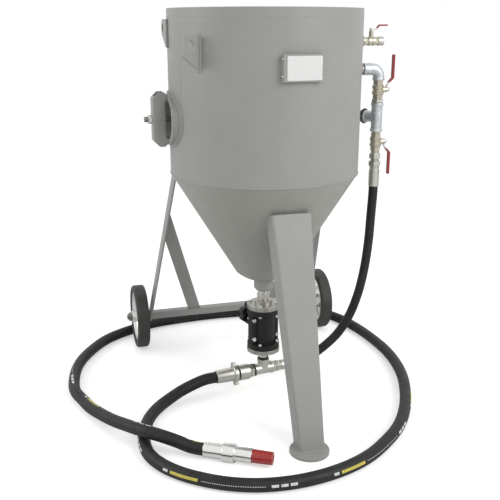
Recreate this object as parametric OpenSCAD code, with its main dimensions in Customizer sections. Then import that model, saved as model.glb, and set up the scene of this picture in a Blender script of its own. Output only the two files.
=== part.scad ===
// Abrasive blasting pot on a front leg and two wheels, with its air manifold, pinch valve and blast hose.
// Origin: the tank axis on the floor. -Y is the front leg, +X the air manifold, +Z up. Millimetres.

/* [Tank] */
// Outer diameter of the tank
tank_d = 600; // [520:10:700]
// Wall of shell, cone and head
tank_wall = 5; // [4:0.5:8]
// Height of the straight shell
shell_h = 498; // [420:1:700]
// Half angle of the cone
cone_half_angle = 31.5; // [28:0.5:40]
// Diameter where the cone ends on the rounded cap
cone_end_d = 186; // [160:1:210]
// Outer radius of the rounded cap
cap_radius = 142; // [125:1:180]
// Depth from the rim to the edge of the recessed head
head_drop = 25; // [10:1:60]
// Straight flange of the head
head_flange = 30; // [20:1:50]
// Outer radius of the head's dish
head_radius = 450; // [400:5:600]

/* [Filling] */
// Hole in the head that holds the rubber seat
fill_hole_d = 116; // [100:1:130]
// Clear opening of the rubber seat
fill_clear_d = 92; // [80:1:96]
// Height of the rubber seat
fill_seat_h = 18; // [12:1:24]
// Travel of the pop-up plug
plug_travel = 25; // [15:1:35]
// Outer diameter of the inside air pipe
lift_pipe_d = 33.7; // [26:0.1:42]
// Wall of the inside air pipe
lift_pipe_wall = 3.2; // [2:0.1:5]
// Drop of the inside pipe below its inlet
lift_pipe_drop = 131; // [110:1:160]

/* [Hand hole] */
// Height of the hand hole's centre above the joint of cone and shell
hatch_rise = 175; // [160:1:240]
// Outer height of the oval ring
hatch_h = 146; // [120:1:170]
// Outer width of the oval ring
hatch_w = 190; // [180:1:220]
// Wall of the oval ring
hatch_ring_wall = 16; // [12:1:24]
// How far the ring stands out of the shell
hatch_out = 12; // [8:1:40]
// Overall height of the bridge
bridge_h = 164; // [150:1:190]
// Depth of the bridge, outwards
bridge_depth = 45; // [35:1:60]
// Width of the bridge
bridge_w = 46; // [36:1:60]
// Plate of the bridge
bridge_plate = 6; // [4:0.5:8]
// Thread of the hatch stud
stud_d = 16; // [12:1:20]

/* [Lifting lugs] */
// Height of a lug along its weld
lug_h = 96; // [80:1:120]
// Reach of a lug from the shell
lug_reach = 66; // [60:1:80]
// Height of a lug's free edge
lug_free = 54; // [46:1:70]
// Plate of a lug
lug_plate = 10; // [8:1:16]
// Hole of a lug
lug_hole_d = 36; // [28:1:40]
// Height of the lugs' holes below the rim
lug_drop = 106; // [90:1:120]
// Reach of the side ear, backwards
ear_reach = 78; // [70:1:90]
// Height of the side ear along the shell
ear_h = 82; // [76:1:100]
// Height of the ear's hole below the rim
ear_drop = 57; // [50:1:70]
// Hole of the ear
ear_hole_d = 24; // [20:1:28]

/* [Legs] */
// Reach of the front leg's foot from the tank axis
foot_reach = 471; // [430:1:520]
// Diameter of the front foot
foot_d = 118; // [100:1:150]
// Plate of the front foot
foot_plate = 8; // [5:1:12]
// Width of the front leg at the top
leg_top_w = 125; // [100:1:140]
// Width of the front leg at the bottom
leg_bottom_w = 72; // [60:1:84]
// Depth of the front leg's flanges
leg_depth = 60; // [50:1:66]
// Plate of the front leg
leg_plate = 5; // [4:0.5:6]
// Outer bend radius of the front leg
leg_bend = 9; // [8:0.5:12]
// Height of the front leg's top edge below the joint of cone and shell
leg_top_drop = 84; // [75:1:110]
// Plate of the rear legs
rear_plate = 6; // [5:0.5:10]
// Width of a rear leg at the top, level
rear_top_w = 58; // [50:1:80]
// Half width of a rear leg at the axle
rear_end_r = 24; // [22:1:34]
// Width of a brace
brace_w = 46; // [36:1:60]
// Plate of a brace
brace_plate = 5; // [4:0.5:8]

/* [Wheels] */
// Wheel diameter
wheel_d = 240; // [220:5:280]
// Tyre width
tyre_w = 46; // [42:1:56]
// Rim diameter under the tyre
rim_d = 184; // [170:1:196]
// Hub length
hub_l = 60; // [56:1:66]
// Hub diameter
hub_d = 46; // [40:1:56]
// Axle diameter
axle_d = 20; // [16:1:24]
// Distance between the wheels' middle planes, more than the tank's diameter
track_past_tank = 132; // [120:2:180]
// Distance from the tank axis back to the axle
axle_back = 440; // [420:1:470]
// Depth of the axle beam, front to back
beam_w = 34; // [30:1:50]
// Height of the axle beam
beam_h = 26; // [25:1:40]

/* [Air manifold] */
// Distance of the manifold pipe from the shell
stack_reach = 88; // [84:1:110]
// Height of the elbow's level leg above the joint
elbow_rise = 313; // [300:1:325]
// Bore of the air fittings
air_bore = 20; // [15:1:22]
// Outer diameter of elbow and tee
fitting_d = 34; // [32:1:38]
// Diameter of the bands on elbow and tee
band_d = 39; // [38:1:44]
// Elbow, middle to lower end
elbow_reach = 36; // [32:1:42]
// Elbow, middle to the end towards the shell
elbow_side = 56; // [46:1:58]
// Tee, middle to end
air_tee_reach = 47; // [42:1:50]
// Length of the ball valves on the manifold
valve_l = 60; // [56:1:70]
// Hexagon of these valves, across flats
valve_hex = 30; // [29:1:33]
// Round body of these valves
valve_d = 38; // [37:1:42]
// Ball of these valves
ball_d = 29; // [27:0.5:31]
// Stem of the valves
stem_d = 8; // [7:0.5:10]
// Length of the levers from the stem
lever_l = 107; // [90:1:112]
// Height of the vent valve above the joint
vent_rise = 400; // [390:1:410]
// Scale of the vent valve against the others
vent_scale = 0.74; // [0.7:0.01:0.8]
// Diameter of the claw couplings' claws
claw_d = 66; // [62:1:72]

/* [Pinch valve] */
// Height of the mixing tee's run above the floor
blast_z = 52; // [46:1:60]
// Mixing tee, middle to end
mix_reach = 34; // [32:1:40]
// Outer diameter of the mixing tee
mix_d = 38; // [36:1:44]
// Diameter of the bands on the mixing tee
mix_band_d = 43; // [42:1:50]
// Bore of the abrasive line
blast_bore = 25; // [20:1:26]
// Diameter of the valve's end flanges
flange_d = 112; // [106:1:120]
// Plate of the upper end flange
flange_t = 16; // [12:1:20]
// Plate of the lower end flange
plate_t = 14; // [12:1:18]
// Length of the valve's split body
pinch_l = 143; // [130:1:170]
// Diameter of the body's barrel
pinch_d = 76; // [74:1:80]
// Outer diameter of the rubber sleeve
sleeve_d = 45; // [42:1:46]
// Travel of the pinch bar
pinch_travel = 10; // [6:1:11]
// Spindle diameter
spindle_d = 12; // [10:1:14]
// Handwheel diameter
handwheel_d = 84; // [72:1:90]
// Bolts of the pinch valve
pinch_bolt_d = 8; // [6:1:8]

/* [Blast line] */
// Outer diameter of the blast hose
blast_hose_d = 38; // [34:1:39]
// Outer diameter of the air hose
air_hose_d = 31; // [27:1:32]
// Diameter of the couplings on the blast line
coupling_d = 54; // [50:1:58]
// Length of the hose coupling
hose_coupling_l = 77; // [70:1:90]
// Length of the nozzle holder's sleeve
holder_sleeve_l = 57; // [50:1:70]
// Length of the holder's collar
holder_collar_l = 36; // [30:1:46]
// Length of the holder's barrel
holder_barrel_l = 51; // [40:1:56]
// Length of the nozzle
nozzle_l = 60; // [50:1:80]

/* [Hidden] */
$fn = 64;

// Fits: running clearance on a radius, and the open gap kept between moving pieces
run_fit = 0.08;
gap = 0.5;
over = 1;

// Heights up the abrasive line, from the mixing tee to the rim
seal_t = 6;
drop_nipple_l = 28;
hub_h = 12;
neck_nipple_l = 36;
socket_l = 39;
socket_d = 65;
socket_end_d = 51;
socket_taper = 10;
neck_thread_d = 33;
thread_l = 12;
mix_top_z = blast_z + mix_reach + 4;
seal_top_z = mix_top_z + seal_t;
plate_z = seal_top_z + drop_nipple_l;
pinch_z = plate_z + plate_t;
pinch_top_z = pinch_z + pinch_l;
hub_z = pinch_top_z + flange_t;
neck_z = hub_z + hub_h;
socket_z = neck_z + neck_nipple_l;
cap_z = socket_z + socket_l;

// Tank
tank_r = tank_d / 2;
cone_end_r = cone_end_d / 2;
cap_mid_z = cap_z + sqrt(pow(cap_radius, 2) - pow(socket_d / 2, 2));
cone_end_z = cap_mid_z - sqrt(pow(cap_radius, 2) - pow(cone_end_r, 2));
cone_slope = tan(cone_half_angle);
joint_z = cone_end_z + (tank_r - cone_end_r) / cone_slope;
rim_z = joint_z + shell_h;
cone_wall = tank_wall / cos(cone_half_angle);
head_edge_z = rim_z - head_drop;
dish_r = tank_r - tank_wall;
dish_z = head_edge_z - head_flange;
dish_mid_z = dish_z + sqrt(pow(head_radius, 2) - pow(dish_r, 2));
head_low_z = dish_mid_z - head_radius;
seat_z = head_low_z - 7;

// Pop-up plug, drawn at its low, open place
plug_edge_r = fill_clear_d / 2 + 6;
plug_top_r = fill_clear_d / 2 - 16;
plug_cone_h = 22;
plug_rim_h = 8;
plug_sleeve_l = 70;
plug_sleeve_wall = 4;
plug_seal_h = plug_cone_h * (plug_edge_r - fill_clear_d / 2) / (plug_edge_r - plug_top_r);
plug_z = seat_z - gap - plug_seal_h - plug_travel;
lift_r = lift_pipe_d / 2;

// Manifold levels, from the elbow down
stack_x = tank_r + stack_reach;
elbow_z = joint_z + elbow_rise;
tank_valve_z = elbow_z - elbow_reach - valve_l / 2;
nipple_hex_h = 10;
nipple_l = 12;
low_nipple_l = 4;
air_tee_z = tank_valve_z - valve_l / 2 - nipple_l - air_tee_reach;
blast_valve_z = air_tee_z - air_tee_reach - low_nipple_l - valve_l / 2;
hose_nipple_l = 35;
hose_nipple_hex_h = 17;
air_hex = 35;
swivel_l = 29;
ferrule_l = 56;
ferrule_d = 35;
swivel_z = blast_valve_z - valve_l / 2 - hose_nipple_l;
air_hose_z = swivel_z - swivel_l - ferrule_l;
vent_z = joint_z + vent_rise;
vent_l = valve_l * vent_scale;
vent_stand = 33;
vent_x = tank_r + vent_stand + vent_l / 2;
vent_bush_l = 19;
vent_bush_d = 28;
elbow_d = 37;
elbow_bend = 25;
elbow_collar_l = 25;
corner_swell = 2;
socket_boss_d = 44;
socket_boss_l = 24;
inlet_turn = 30;
inlet_seal_t = 4;
inlet_seal_d = 50;
inlet_nipple_l = 14;
claw_bore = air_bore + 2;
claw_body_d = 44;
claw_l = 30;
air_thread_d = 26;

// Valve details
hex_l = 13;
stem_boss_d = 19;
stem_boss_l = 8;
drum_gap = 3;
drum_groove = 2;
lever_eye_d = 18;
lever_step = 20;
lever_t = 3;
lever_w = 9;
lever_root = 6;
vent_lever_l = 70;
vent_neck = 24;
lever_bend = 16;
lever_bend_end = 38;
grip_start = 24;
grip_wall = 1.75;
stem_nut = 13;
stem_nut_h = 6;

// Pinch valve details, in a frame turned so that the spindle points along local +Y
pinch_turn = 16;
spindle_z = pinch_z + pinch_l * 0.66;
rim_h = 18;
nut_seat = rim_h - 1;
pinch_cavity_d = sleeve_d + 2 * gap;
bolt_circle_d = flange_d - 18;
bolt_hole_d = pinch_bolt_d + 1;
bolt_hex = pinch_bolt_d * 1.6;
bolt_head_h = pinch_bolt_d * 0.65;
seam_t = 12;
seam_inset = 4;
seam_edge = 2.5;
seam_bolt_in = 10;
seam_x = flange_d / 2 - seam_bolt_in;
seam_w = flange_d - 2 * seam_edge;
pocket_h = 12;
pocket_d = bolt_hex * 1.3;
housing_wall = 5;
seam_heights = [pinch_z + pinch_l * 0.27, pinch_z + pinch_l * 0.74];
bar_w = 42;
bar_h = 26;
bar_t = 13;
bar_y = pinch_cavity_d / 2 + gap;
spindle_boss_d = 34;
spindle_boss_y = 60;
wheel_t = 22;
handwheel_y = spindle_boss_y + pinch_travel + 3;
lobes = 7;
lobe_share = 0.27;
neck_hub_d = 60;

// Blast line, along local -X of a frame turned about the tank axis
line_turn = 8;
line_hex = 44;
line_nipple_l = 13;
coupling_l = 41;
gasket_t = 6;
coupling_seal_x = mix_reach + seal_t;
coupling_x = coupling_seal_x + line_nipple_l;
gasket_x = coupling_x + coupling_l;
hose_coupling_x = gasket_x + gasket_t;
blast_start = hose_coupling_x + hose_coupling_l;
coupling_lug = 79;
coupling_lug_w = 22;
coupling_flange_t = 14;
coupling_neck_d = 48;
coupling_sleeve_d = 44;
swivel_hex = 41;
air_nipple_l = 12;
air_end_swivel_l = 20;
air_end = mix_reach + air_nipple_l + air_end_swivel_l + ferrule_l;

// Nozzle, lying on the floor
nozzle_turn = -30;
holder_sleeve_d = 45;
holder_collar_d = 54;
holder_barrel_d = 42;
nozzle_at = [-304, -418, holder_collar_d / 2];
holder_l = holder_sleeve_l + holder_collar_l + holder_barrel_l;
nozzle_d = 39;
nozzle_tip_d = 37;
nozzle_bore_d = 10;
nozzle_mouth_d = 19;

// Undercarriage
axle_z = wheel_d / 2;
track = tank_d + track_past_tank;
half_track = track / 2;
wheel_gap = 1;
washer_t = 4;
washer_d = 40;
axle_nut = 30;
axle_nut_h = 12;
axle_tail = 6;
lean_room = 6;
leg_outer_x = half_track - hub_l / 2 - wheel_gap - washer_t - rear_end_r * tan(lean_room);
rear_lap = 25;
rear_top_in = 34;
rear_top_z = joint_z + rear_lap;
rear_top_x = tank_r - rear_top_in;
rear_top_share = 0.39;
rear_top_y = rear_top_share * tank_r;
rear_lean = atan((leg_outer_x - rear_top_x) / (rear_top_z - axle_z));
rear_rake = atan((axle_back - rear_top_y) / (rear_top_z - axle_z));
brace_foot_x = 153;
brace_top_z = 545;
leg_side = 6;
foot_y = -foot_reach - 17;
leg_top_z = joint_z - leg_top_drop;
leg_top_y = -(tank_r - leg_top_drop * cone_slope + 15);
leg_lean = atan2(leg_top_z - foot_plate, leg_top_y - foot_y);
leg_l = (leg_top_z - foot_plate) / sin(leg_lean);

// Hatch
hatch_z = joint_z + hatch_rise;
hatch_clear_w = hatch_w - 2 * hatch_ring_wall;
hatch_clear_h = hatch_h - 2 * hatch_ring_wall;
ring_face_x = tank_r + hatch_out;
hatch_in = 24;
ring_back_x = tank_r - hatch_in;
collar_step = 9;
collar_out = 6;
gasket_thick = 4;
cover_t = 10;
cover_lap = 9;
hatch_nut_hex = 24;
hatch_nut_h = 13;
stud_tail = 11;
bridge_x = ring_face_x + bridge_depth;

// Lugs: turns from the front towards -X, and the places of their holes; the ear lies along the shell's side
LUG_TURNS = [55, 235];
lug_hole_z = rim_z - lug_drop;
ear_hole_z = rim_z - ear_drop;
ear_hole_back = 58;
ear_hole_drop = 26;
ear_out = 7;
ear_corner = 12;
ear_free = 42;
lug_hole_in = 38;
lug_hole_drop = 29;

// Plate bracket: place round the shell from the front towards -X, and height
plate_turn = -3.2;
plate_drop = 161;
plate_mid_z = rim_z - plate_drop;
plate_w = 118;
plate_h = 74;
plate_stand = 12;
bracket_t = 3;

// Route of the blast hose, by hand, from the coupling round the pot and over itself to the nozzle
BLAST_ROUTE = [
  [-215, -30, 51], [-255, -38, 43], [-295, -51, 34], [-340, -79, 26], [-388, -122, 21], [-420, -168, 20],
  [-440, -212, 20], [-455, -265, 20], [-464, -323, 20], [-460, -390, 20], [-436, -450, 20], [-395, -505, 20],
  [-340, -553, 20], [-270, -596, 20], [-190, -624, 20], [-105, -634, 20], [-20, -628, 20], [62, -608, 20],
  [140, -574, 20], [220, -518, 20], [299, -445, 20], [372, -345, 20], [433, -229, 20], [475, -122, 20],
  [500, -20, 20], [512, 85, 20], [510, 190, 20], [495, 320, 20], [472, 415, 20], [440, 483, 20],
  [388, 544, 20], [305, 580, 20], [200, 605, 20], [83, 617, 20], [-45, 622, 20], [-170, 614, 20],
  [-290, 594, 20], [-401, 545, 20], [-490, 483, 20], [-558, 394, 20], [-612, 285, 20], [-637, 170, 20],
  [-639, 60, 20], [-620, -4, 20], [-602, -62, 22], [-575, -125, 28], [-545, -190, 37], [-507, -262, 51],
  [-466, -322, 60], [-420, -360, 57], [-378, -382, 45], [-340, -398, 30],
];

// Route of the air hose, by hand, as shares of its way across and down, and its way sideways
AIR_ROUTE = [
  [0.015, 0.16, 0], [0.035, 0.32, 0], [0.075, 0.47, 0], [0.155, 0.62, 0], [0.265, 0.76, 0.47],
  [0.40, 0.86, 1.05], [0.565, 0.93, 1.5], [0.72, 0.975, 1.6],
];

// Colours
paint = "#8f8e8a";
zinc = "#c9cac6";
nickel = "#b9b3a0";
black_iron = "#2b2b2a";
rubber = "#262626";
red = "#8c2f2f";
nozzle_red = "#b02a2a";

// Shared shapes
module ring(d, bore, h) {
  difference() {
    cylinder(d = d, h = h);
    translate([0, 0, -over]) cylinder(d = bore, h = h + 2 * over);
  }
}

module hexagon(flats, h) {
  cylinder(d = flats / cos(30), h = h, $fn = 6);
}

// Turns a shape drawn along +Z to lie along +X
module along_x() {
  rotate([0, 90, 0]) children();
}

// Turns a shape drawn along +Z to lie along +Y
module along_y() {
  rotate([-90, 0, 0]) children();
}

// A run of pipe through its corner points, solid
module pipe_run(points, d) {
  for (i = [0 : len(points) - 2]) {
    step = points[i + 1] - points[i];
    reach = norm(step);
    translate(points[i])
      rotate([0, acos(step[2] / reach), atan2(step[1], step[0])])
        cylinder(d = d, h = reach);
  }
  for (i = [1 : len(points) - 2]) translate(points[i]) sphere(d = d + corner_swell);
}

// The outside of shell and cone as one solid, to trim what is welded on
module tank_volume() {
  rotate_extrude()
    polygon([[0, cone_end_z], [cone_end_r, cone_end_z], [tank_r, joint_z], [tank_r, rim_z], [0, rim_z]]);
}

// Oval outline with straight sides, as wide as w along x
module oval(w, h) {
  square([w - h, h], center = true);
  for (side = [-1, 1]) translate([side * (w - h) / 2, 0]) circle(d = h);
}

// Oval plate on the left side of the tank, from one distance to another
module left_oval(w, h, from, to) {
  translate([-to, 0, hatch_z]) along_x() rotate([0, 0, 90]) linear_extrude(to - from) oval(w, h);
}

// Sweep of a round hose: rings square to the route, joined by triangles. The ends face their fittings.
function unit(v) = v / norm(v);
function route_dir(p, i, first, last) =
  i == 0 ? first : i == len(p) - 1 ? last : unit(unit(p[i + 1] - p[i]) + unit(p[i] - p[i - 1]));
function ring_at(p, t, r, sides, ref) =
  let (a = unit(cross(t, ref)), b = cross(t, a))
  [for (k = [0 : sides - 1]) p + r * (cos(k * 360 / sides) * a + sin(k * 360 / sides) * b)];

module hose(points, d, sides, first, last, ref) {
  n = len(points);
  rings = [
    for (i = [0 : n - 1])
      each ring_at(points[i], route_dir(points, i, first, last), d / 2, sides, ref)
  ];
  walls = [
    for (i = [0 : n - 2]) for (k = [0 : sides - 1])
      let (a = i * sides + k, b = i * sides + (k + 1) % sides)
      each [[a, b, a + sides], [b, b + sides, a + sides]]
  ];
  start = [for (k = [1 : sides - 2]) [0, k + 1, k]];
  end = [for (k = [1 : sides - 2]) [(n - 1) * sides, (n - 1) * sides + k, (n - 1) * sides + k + 1]];
  polyhedron(points = rings, faces = concat(walls, start, end), convexity = 10);
}

// Frames
module on_stack(z) {
  translate([stack_x, 0, z]) children();
}

module on_line() {
  translate([0, 0, blast_z]) rotate([0, 0, line_turn]) children();
}

module on_pinch() {
  rotate([0, 0, pinch_turn]) children();
}

// Tank
module tank_shell() {
  color(paint) difference() {
    translate([0, 0, joint_z]) ring(tank_d, tank_d - 2 * tank_wall, shell_h);
    left_oval(hatch_w, hatch_h, ring_back_x, ring_face_x);
    for (z = [elbow_z, vent_z])
      translate([0, 0, z]) along_x() cylinder(d = socket_boss_d, h = tank_r + over);
  }
}

module tank_cone() {
  color(paint) difference() {
    union() {
      rotate_extrude() polygon([
        [cone_end_r - cone_wall, cone_end_z], [cone_end_r, cone_end_z],
        [tank_r, joint_z], [tank_r - cone_wall, joint_z],
      ]);
      intersection() {
        translate([0, 0, cap_mid_z]) difference() {
          sphere(r = cap_radius, $fn = 128);
          sphere(r = cap_radius - tank_wall, $fn = 128);
        }
        translate([0, 0, cap_z - cap_radius]) cylinder(d = cone_end_d, h = cap_radius + cone_end_z - cap_z);
      }
    }
    translate([0, 0, cap_z - cap_radius]) cylinder(d = neck_thread_d, h = cap_radius + cone_end_z - cap_z);
  }
}

module top_head() {
  color(paint) difference() {
    union() {
      translate([0, 0, dish_z - over]) ring(2 * dish_r, 2 * (dish_r - tank_wall), head_flange + over);
      intersection() {
        translate([0, 0, dish_mid_z]) difference() {
          sphere(r = head_radius, $fn = 128);
          sphere(r = head_radius - tank_wall, $fn = 128);
        }
        translate([0, 0, head_low_z - over]) cylinder(r = dish_r, h = dish_z - head_low_z + over);
      }
    }
    translate([0, 0, head_low_z - over]) cylinder(d = fill_hole_d, h = dish_z - head_low_z);
  }
}

module fill_seat() {
  color(rubber) translate([0, 0, seat_z]) ring(fill_hole_d, fill_clear_d, fill_seat_h);
}

module popup_plug() {
  color(rubber) translate([0, 0, plug_z]) difference() {
    union() {
      cylinder(r1 = plug_edge_r, r2 = plug_top_r, h = plug_cone_h);
      translate([0, 0, -plug_rim_h]) cylinder(r = plug_edge_r, h = plug_rim_h);
      translate([0, 0, -plug_rim_h - plug_sleeve_l])
        cylinder(r = lift_r + plug_sleeve_wall, h = plug_sleeve_l + plug_rim_h);
    }
    translate([0, 0, -plug_rim_h - plug_sleeve_l - over])
      cylinder(r = lift_r + run_fit, h = plug_sleeve_l + plug_rim_h);
  }
}

module popup_air_pipe() {
  low_z = elbow_z - lift_pipe_drop;
  turn_x = tank_r * 0.6;
  top_z = plug_z - plug_rim_h - 12;
  corners = [[turn_x, 0, elbow_z], [turn_x, 0, low_z], [0, 0, low_z]];
  color(zinc) difference() {
    pipe_run(concat([[tank_r - tank_wall, 0, elbow_z]], corners, [[0, 0, top_z]]), lift_pipe_d);
    pipe_run(concat([[tank_r, 0, elbow_z]], corners, [[0, 0, top_z + over]]),
             lift_pipe_d - 2 * lift_pipe_wall);
  }
}

module shell_sockets() {
  color(paint) for (z = [elbow_z, vent_z])
    translate([tank_r - tank_wall, 0, z]) along_x()
      ring(socket_boss_d, air_thread_d, tank_wall + socket_boss_l);
}

// Hand hole
module hatch_ring() {
  color(paint) difference() {
    union() {
      left_oval(hatch_w, hatch_h, ring_back_x, ring_face_x);
      difference() {
        intersection() {
          left_oval(hatch_w + 2 * collar_step, hatch_h + 2 * collar_step, ring_back_x, ring_face_x);
          cylinder(r = tank_r + collar_out, h = rim_z);
        }
        cylinder(d = tank_d, h = rim_z);
      }
    }
    left_oval(hatch_clear_w, hatch_clear_h, ring_back_x - over, ring_face_x + over);
  }
}

module hatch_gasket() {
  color(rubber) difference() {
    left_oval(hatch_w - 4, hatch_h - 4, ring_back_x - gasket_thick, ring_back_x);
    left_oval(hatch_clear_w, hatch_clear_h, ring_back_x - gasket_thick - over, ring_back_x + over);
  }
}

module hatch_cover() {
  cover_x = ring_back_x - gasket_thick;
  color(black_iron) {
    left_oval(hatch_clear_w + 2 * cover_lap, hatch_clear_h + 2 * cover_lap, cover_x - cover_t, cover_x);
    translate([-bridge_x - hatch_nut_h - stud_tail, 0, hatch_z])
      along_x() cylinder(d = stud_d, h = bridge_x + hatch_nut_h + stud_tail - cover_x + over);
  }
}

module hatch_bridge() {
  half = bridge_h / 2;
  outer_cut = 18;
  inner_cut = 10;
  arch = 7;
  foot = 22;
  outer = [
    [0, half - inner_cut], [inner_cut, half],
    [bridge_depth - outer_cut, half], [bridge_depth, half - outer_cut],
    [bridge_depth, outer_cut - half], [bridge_depth - outer_cut, -half],
    [inner_cut, -half], [0, inner_cut - half],
    [0, foot - half], [arch, foot + arch - half], [arch, half - foot - arch], [0, half - foot],
  ];
  color(paint) translate([-ring_face_x, 0, hatch_z]) mirror([1, 0, 0]) difference() {
    rotate([90, 0, 0]) linear_extrude(bridge_w, center = true) polygon(outer);
    translate([-over, -bridge_w / 2 + bridge_plate, -half - over])
      cube([bridge_depth - bridge_plate + over, bridge_w - 2 * bridge_plate, bridge_h + 2 * over]);
    along_x() cylinder(d = stud_d, h = bridge_depth + over);
  }
}

module hatch_nut() {
  color(zinc) translate([-bridge_x - hatch_nut_h, 0, hatch_z]) along_x() difference() {
    hexagon(hatch_nut_hex, hatch_nut_h);
    translate([0, 0, -over]) cylinder(d = stud_d, h = hatch_nut_h + 2 * over);
  }
}

// One lug: a plate with its hole, its lower edge rising to the free edge
module lug() {
  top_z = lug_hole_z + lug_hole_drop;
  difference() {
    rotate([90, 0, 0]) linear_extrude(lug_plate, center = true) difference() {
      polygon([
        [tank_r - 2, top_z], [tank_r + lug_reach, top_z], [tank_r + lug_reach, top_z - lug_free],
        [tank_r - 2, top_z - lug_h],
      ]);
      translate([tank_r + lug_hole_in, lug_hole_z]) circle(d = lug_hole_d);
    }
    tank_volume();
  }
}

// The ear: a plate flat against the left side of the shell, running back past it
module side_ear() {
  top_z = ear_hole_z + ear_hole_drop;
  difference() {
    translate([-tank_r - ear_out, 0, 0]) rotate([90, 0, 90]) linear_extrude(lug_plate) difference() {
      polygon([
        [0, top_z], [ear_reach - ear_corner, top_z], [ear_reach, top_z - ear_corner],
        [ear_reach, top_z - ear_free], [ear_corner, top_z - ear_h], [0, top_z - ear_h],
      ]);
      translate([ear_hole_back, ear_hole_z]) circle(d = ear_hole_d);
    }
    tank_volume();
  }
}

module lifting_lugs() {
  color(paint) {
    for (turn = LUG_TURNS) rotate([0, 0, -90 - turn]) lug();
    side_ear();
  }
}

module plate_bracket() {
  bracket_r = tank_r + plate_stand;
  color(paint) rotate([0, 0, -90 - plate_turn]) translate([0, 0, plate_mid_z]) difference() {
    union() {
      translate([bracket_r - bracket_t, -plate_w / 2, -plate_h / 2]) cube([bracket_t, plate_w, plate_h]);
      for (side = [-1, 1])
        translate([tank_r - 20, side * (plate_w / 2 - bracket_t / 2) - bracket_t / 2, -plate_h / 2])
          cube([20 + plate_stand - bracket_t, bracket_t, plate_h]);
    }
    translate([0, 0, -plate_mid_z]) tank_volume();
  }
}

// Front leg: folded from plate, in a frame with the foot edge at its origin, +Y up the leg and +Z outwards
module leg_outline(inset) {
  polygon([
    [-leg_bottom_w / 2 + inset, -leg_depth], [leg_bottom_w / 2 - inset, -leg_depth],
    [leg_top_w / 2 - inset, leg_l - inset], [-leg_top_w / 2 + inset, leg_l - inset],
  ]);
}

// Trims a long front edge with flats that follow the bend
module leg_bend_cuts(side) {
  taper = atan((leg_top_w - leg_bottom_w) / 2 / (leg_l + leg_depth));
  translate([side * leg_bottom_w / 2, -leg_depth, 0]) rotate([0, 0, -side * taper])
    for (turn = [22.5, 45, 67.5]) mirror([side < 0 ? 1 : 0, 0, 0]) rotate([0, -turn, 0])
      translate([leg_bend * (1 - cos(turn) - sin(turn)), -leg_depth, -leg_depth])
        cube([leg_depth, leg_l + 4 * leg_depth, 2 * leg_depth]);
}

module front_leg() {
  color(paint) difference() {
    translate([leg_side, foot_y, foot_plate]) rotate([leg_lean, 0, 0]) difference() {
      translate([0, 0, -leg_depth]) linear_extrude(leg_depth) leg_outline(0);
      translate([0, 0, -leg_depth - over]) linear_extrude(leg_depth + over - leg_plate) leg_outline(leg_plate);
      for (side = [-1, 1]) leg_bend_cuts(side);
    }
    tank_volume();
    translate([-leg_top_w, -2 * foot_reach, foot_plate - 2 * leg_depth])
      cube([2 * leg_top_w, 2 * foot_reach, 2 * leg_depth]);
  }
}

module front_foot() {
  color(paint) translate([0, -foot_reach, 0]) cylinder(d = foot_d, h = foot_plate);
}

// Rear legs: raked plates that run into the shell behind its sides and lean out to the axle
module lean_out(side) {
  translate([side * leg_outer_x, 0, axle_z]) rotate([0, -side * rear_lean, 0]) children();
}

module rear_leg(side) {
  rise = (rear_top_z - axle_z) / cos(rear_lean);
  half = rear_top_w / 2;
  mid = [axle_back, 0];
  edge = (rear_end_r - over) * [cos(rear_rake), sin(rear_rake)];
  outline = [
    [rear_top_y - half, rise], [rear_top_y + half, rise], mid + edge, mid - edge,
  ];
  color(paint) difference() {
    lean_out(side) translate([side > 0 ? -rear_plate : 0, 0, 0]) rotate([90, 0, 90]) {
      linear_extrude(rear_plate) polygon(outline);
      translate(mid) cylinder(r = rear_end_r, h = rear_plate);
    }
    translate([0, axle_back, axle_z]) along_x() cylinder(d = axle_d, h = 2 * track, center = true);
    tank_volume();
  }
}

module rear_leg_left() rear_leg(-1);
module rear_leg_right() rear_leg(1);

// Everything outside the inner faces of the rear legs
module outside_legs() {
  for (side = [-1, 1])
    lean_out(side) translate([side > 0 ? -rear_plate : rear_plate - track, -track, -track])
      cube([track, 2 * track, 2 * track]);
}

module rear_braces() {
  up = (brace_top_z - axle_z) / cos(rear_rake);
  foot_up = (beam_h / 2) / cos(rear_rake);
  top_x = leg_outer_x - (brace_top_z - axle_z) * tan(rear_lean);
  slant = atan2(top_x - brace_foot_x, up - foot_up);
  long = (up - foot_up) / cos(slant);
  color(paint) difference() {
    for (side = [-1, 1])
      translate([0, axle_back, axle_z]) rotate([90 + rear_rake, 0, 0])
        translate([side * brace_foot_x, foot_up, -brace_plate / 2]) rotate([0, 0, -side * slant])
          translate([-brace_w / 2, -brace_w, 0]) cube([brace_w, long + 2 * brace_w, brace_plate]);
    outside_legs();
    translate([-track, axle_back - track, axle_z + beam_h / 2 - track]) cube([2 * track, 2 * track, track]);
  }
}

module axle_beam() {
  color(paint) difference() {
    translate([-half_track, axle_back - beam_w / 2, axle_z - beam_h / 2]) cube([track, beam_w, beam_h]);
    outside_legs();
    translate([0, axle_back, axle_z]) along_x() cylinder(d = axle_d, h = 2 * track, center = true);
  }
}

module axle_bolts() {
  hub_in = half_track - hub_l / 2 - wheel_gap;
  hub_out = half_track + hub_l / 2 + wheel_gap;
  color(zinc) for (side = [0, 1]) mirror([side, 0, 0]) translate([0, axle_back, axle_z]) along_x() {
    translate([0, 0, hub_in - 80]) cylinder(d = axle_d, h = hub_out - hub_in + 80 + axle_nut_h + axle_tail);
    translate([0, 0, hub_in - washer_t]) cylinder(d = washer_d, h = washer_t);
    translate([0, 0, hub_out]) hexagon(axle_nut, axle_nut_h);
  }
}

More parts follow.
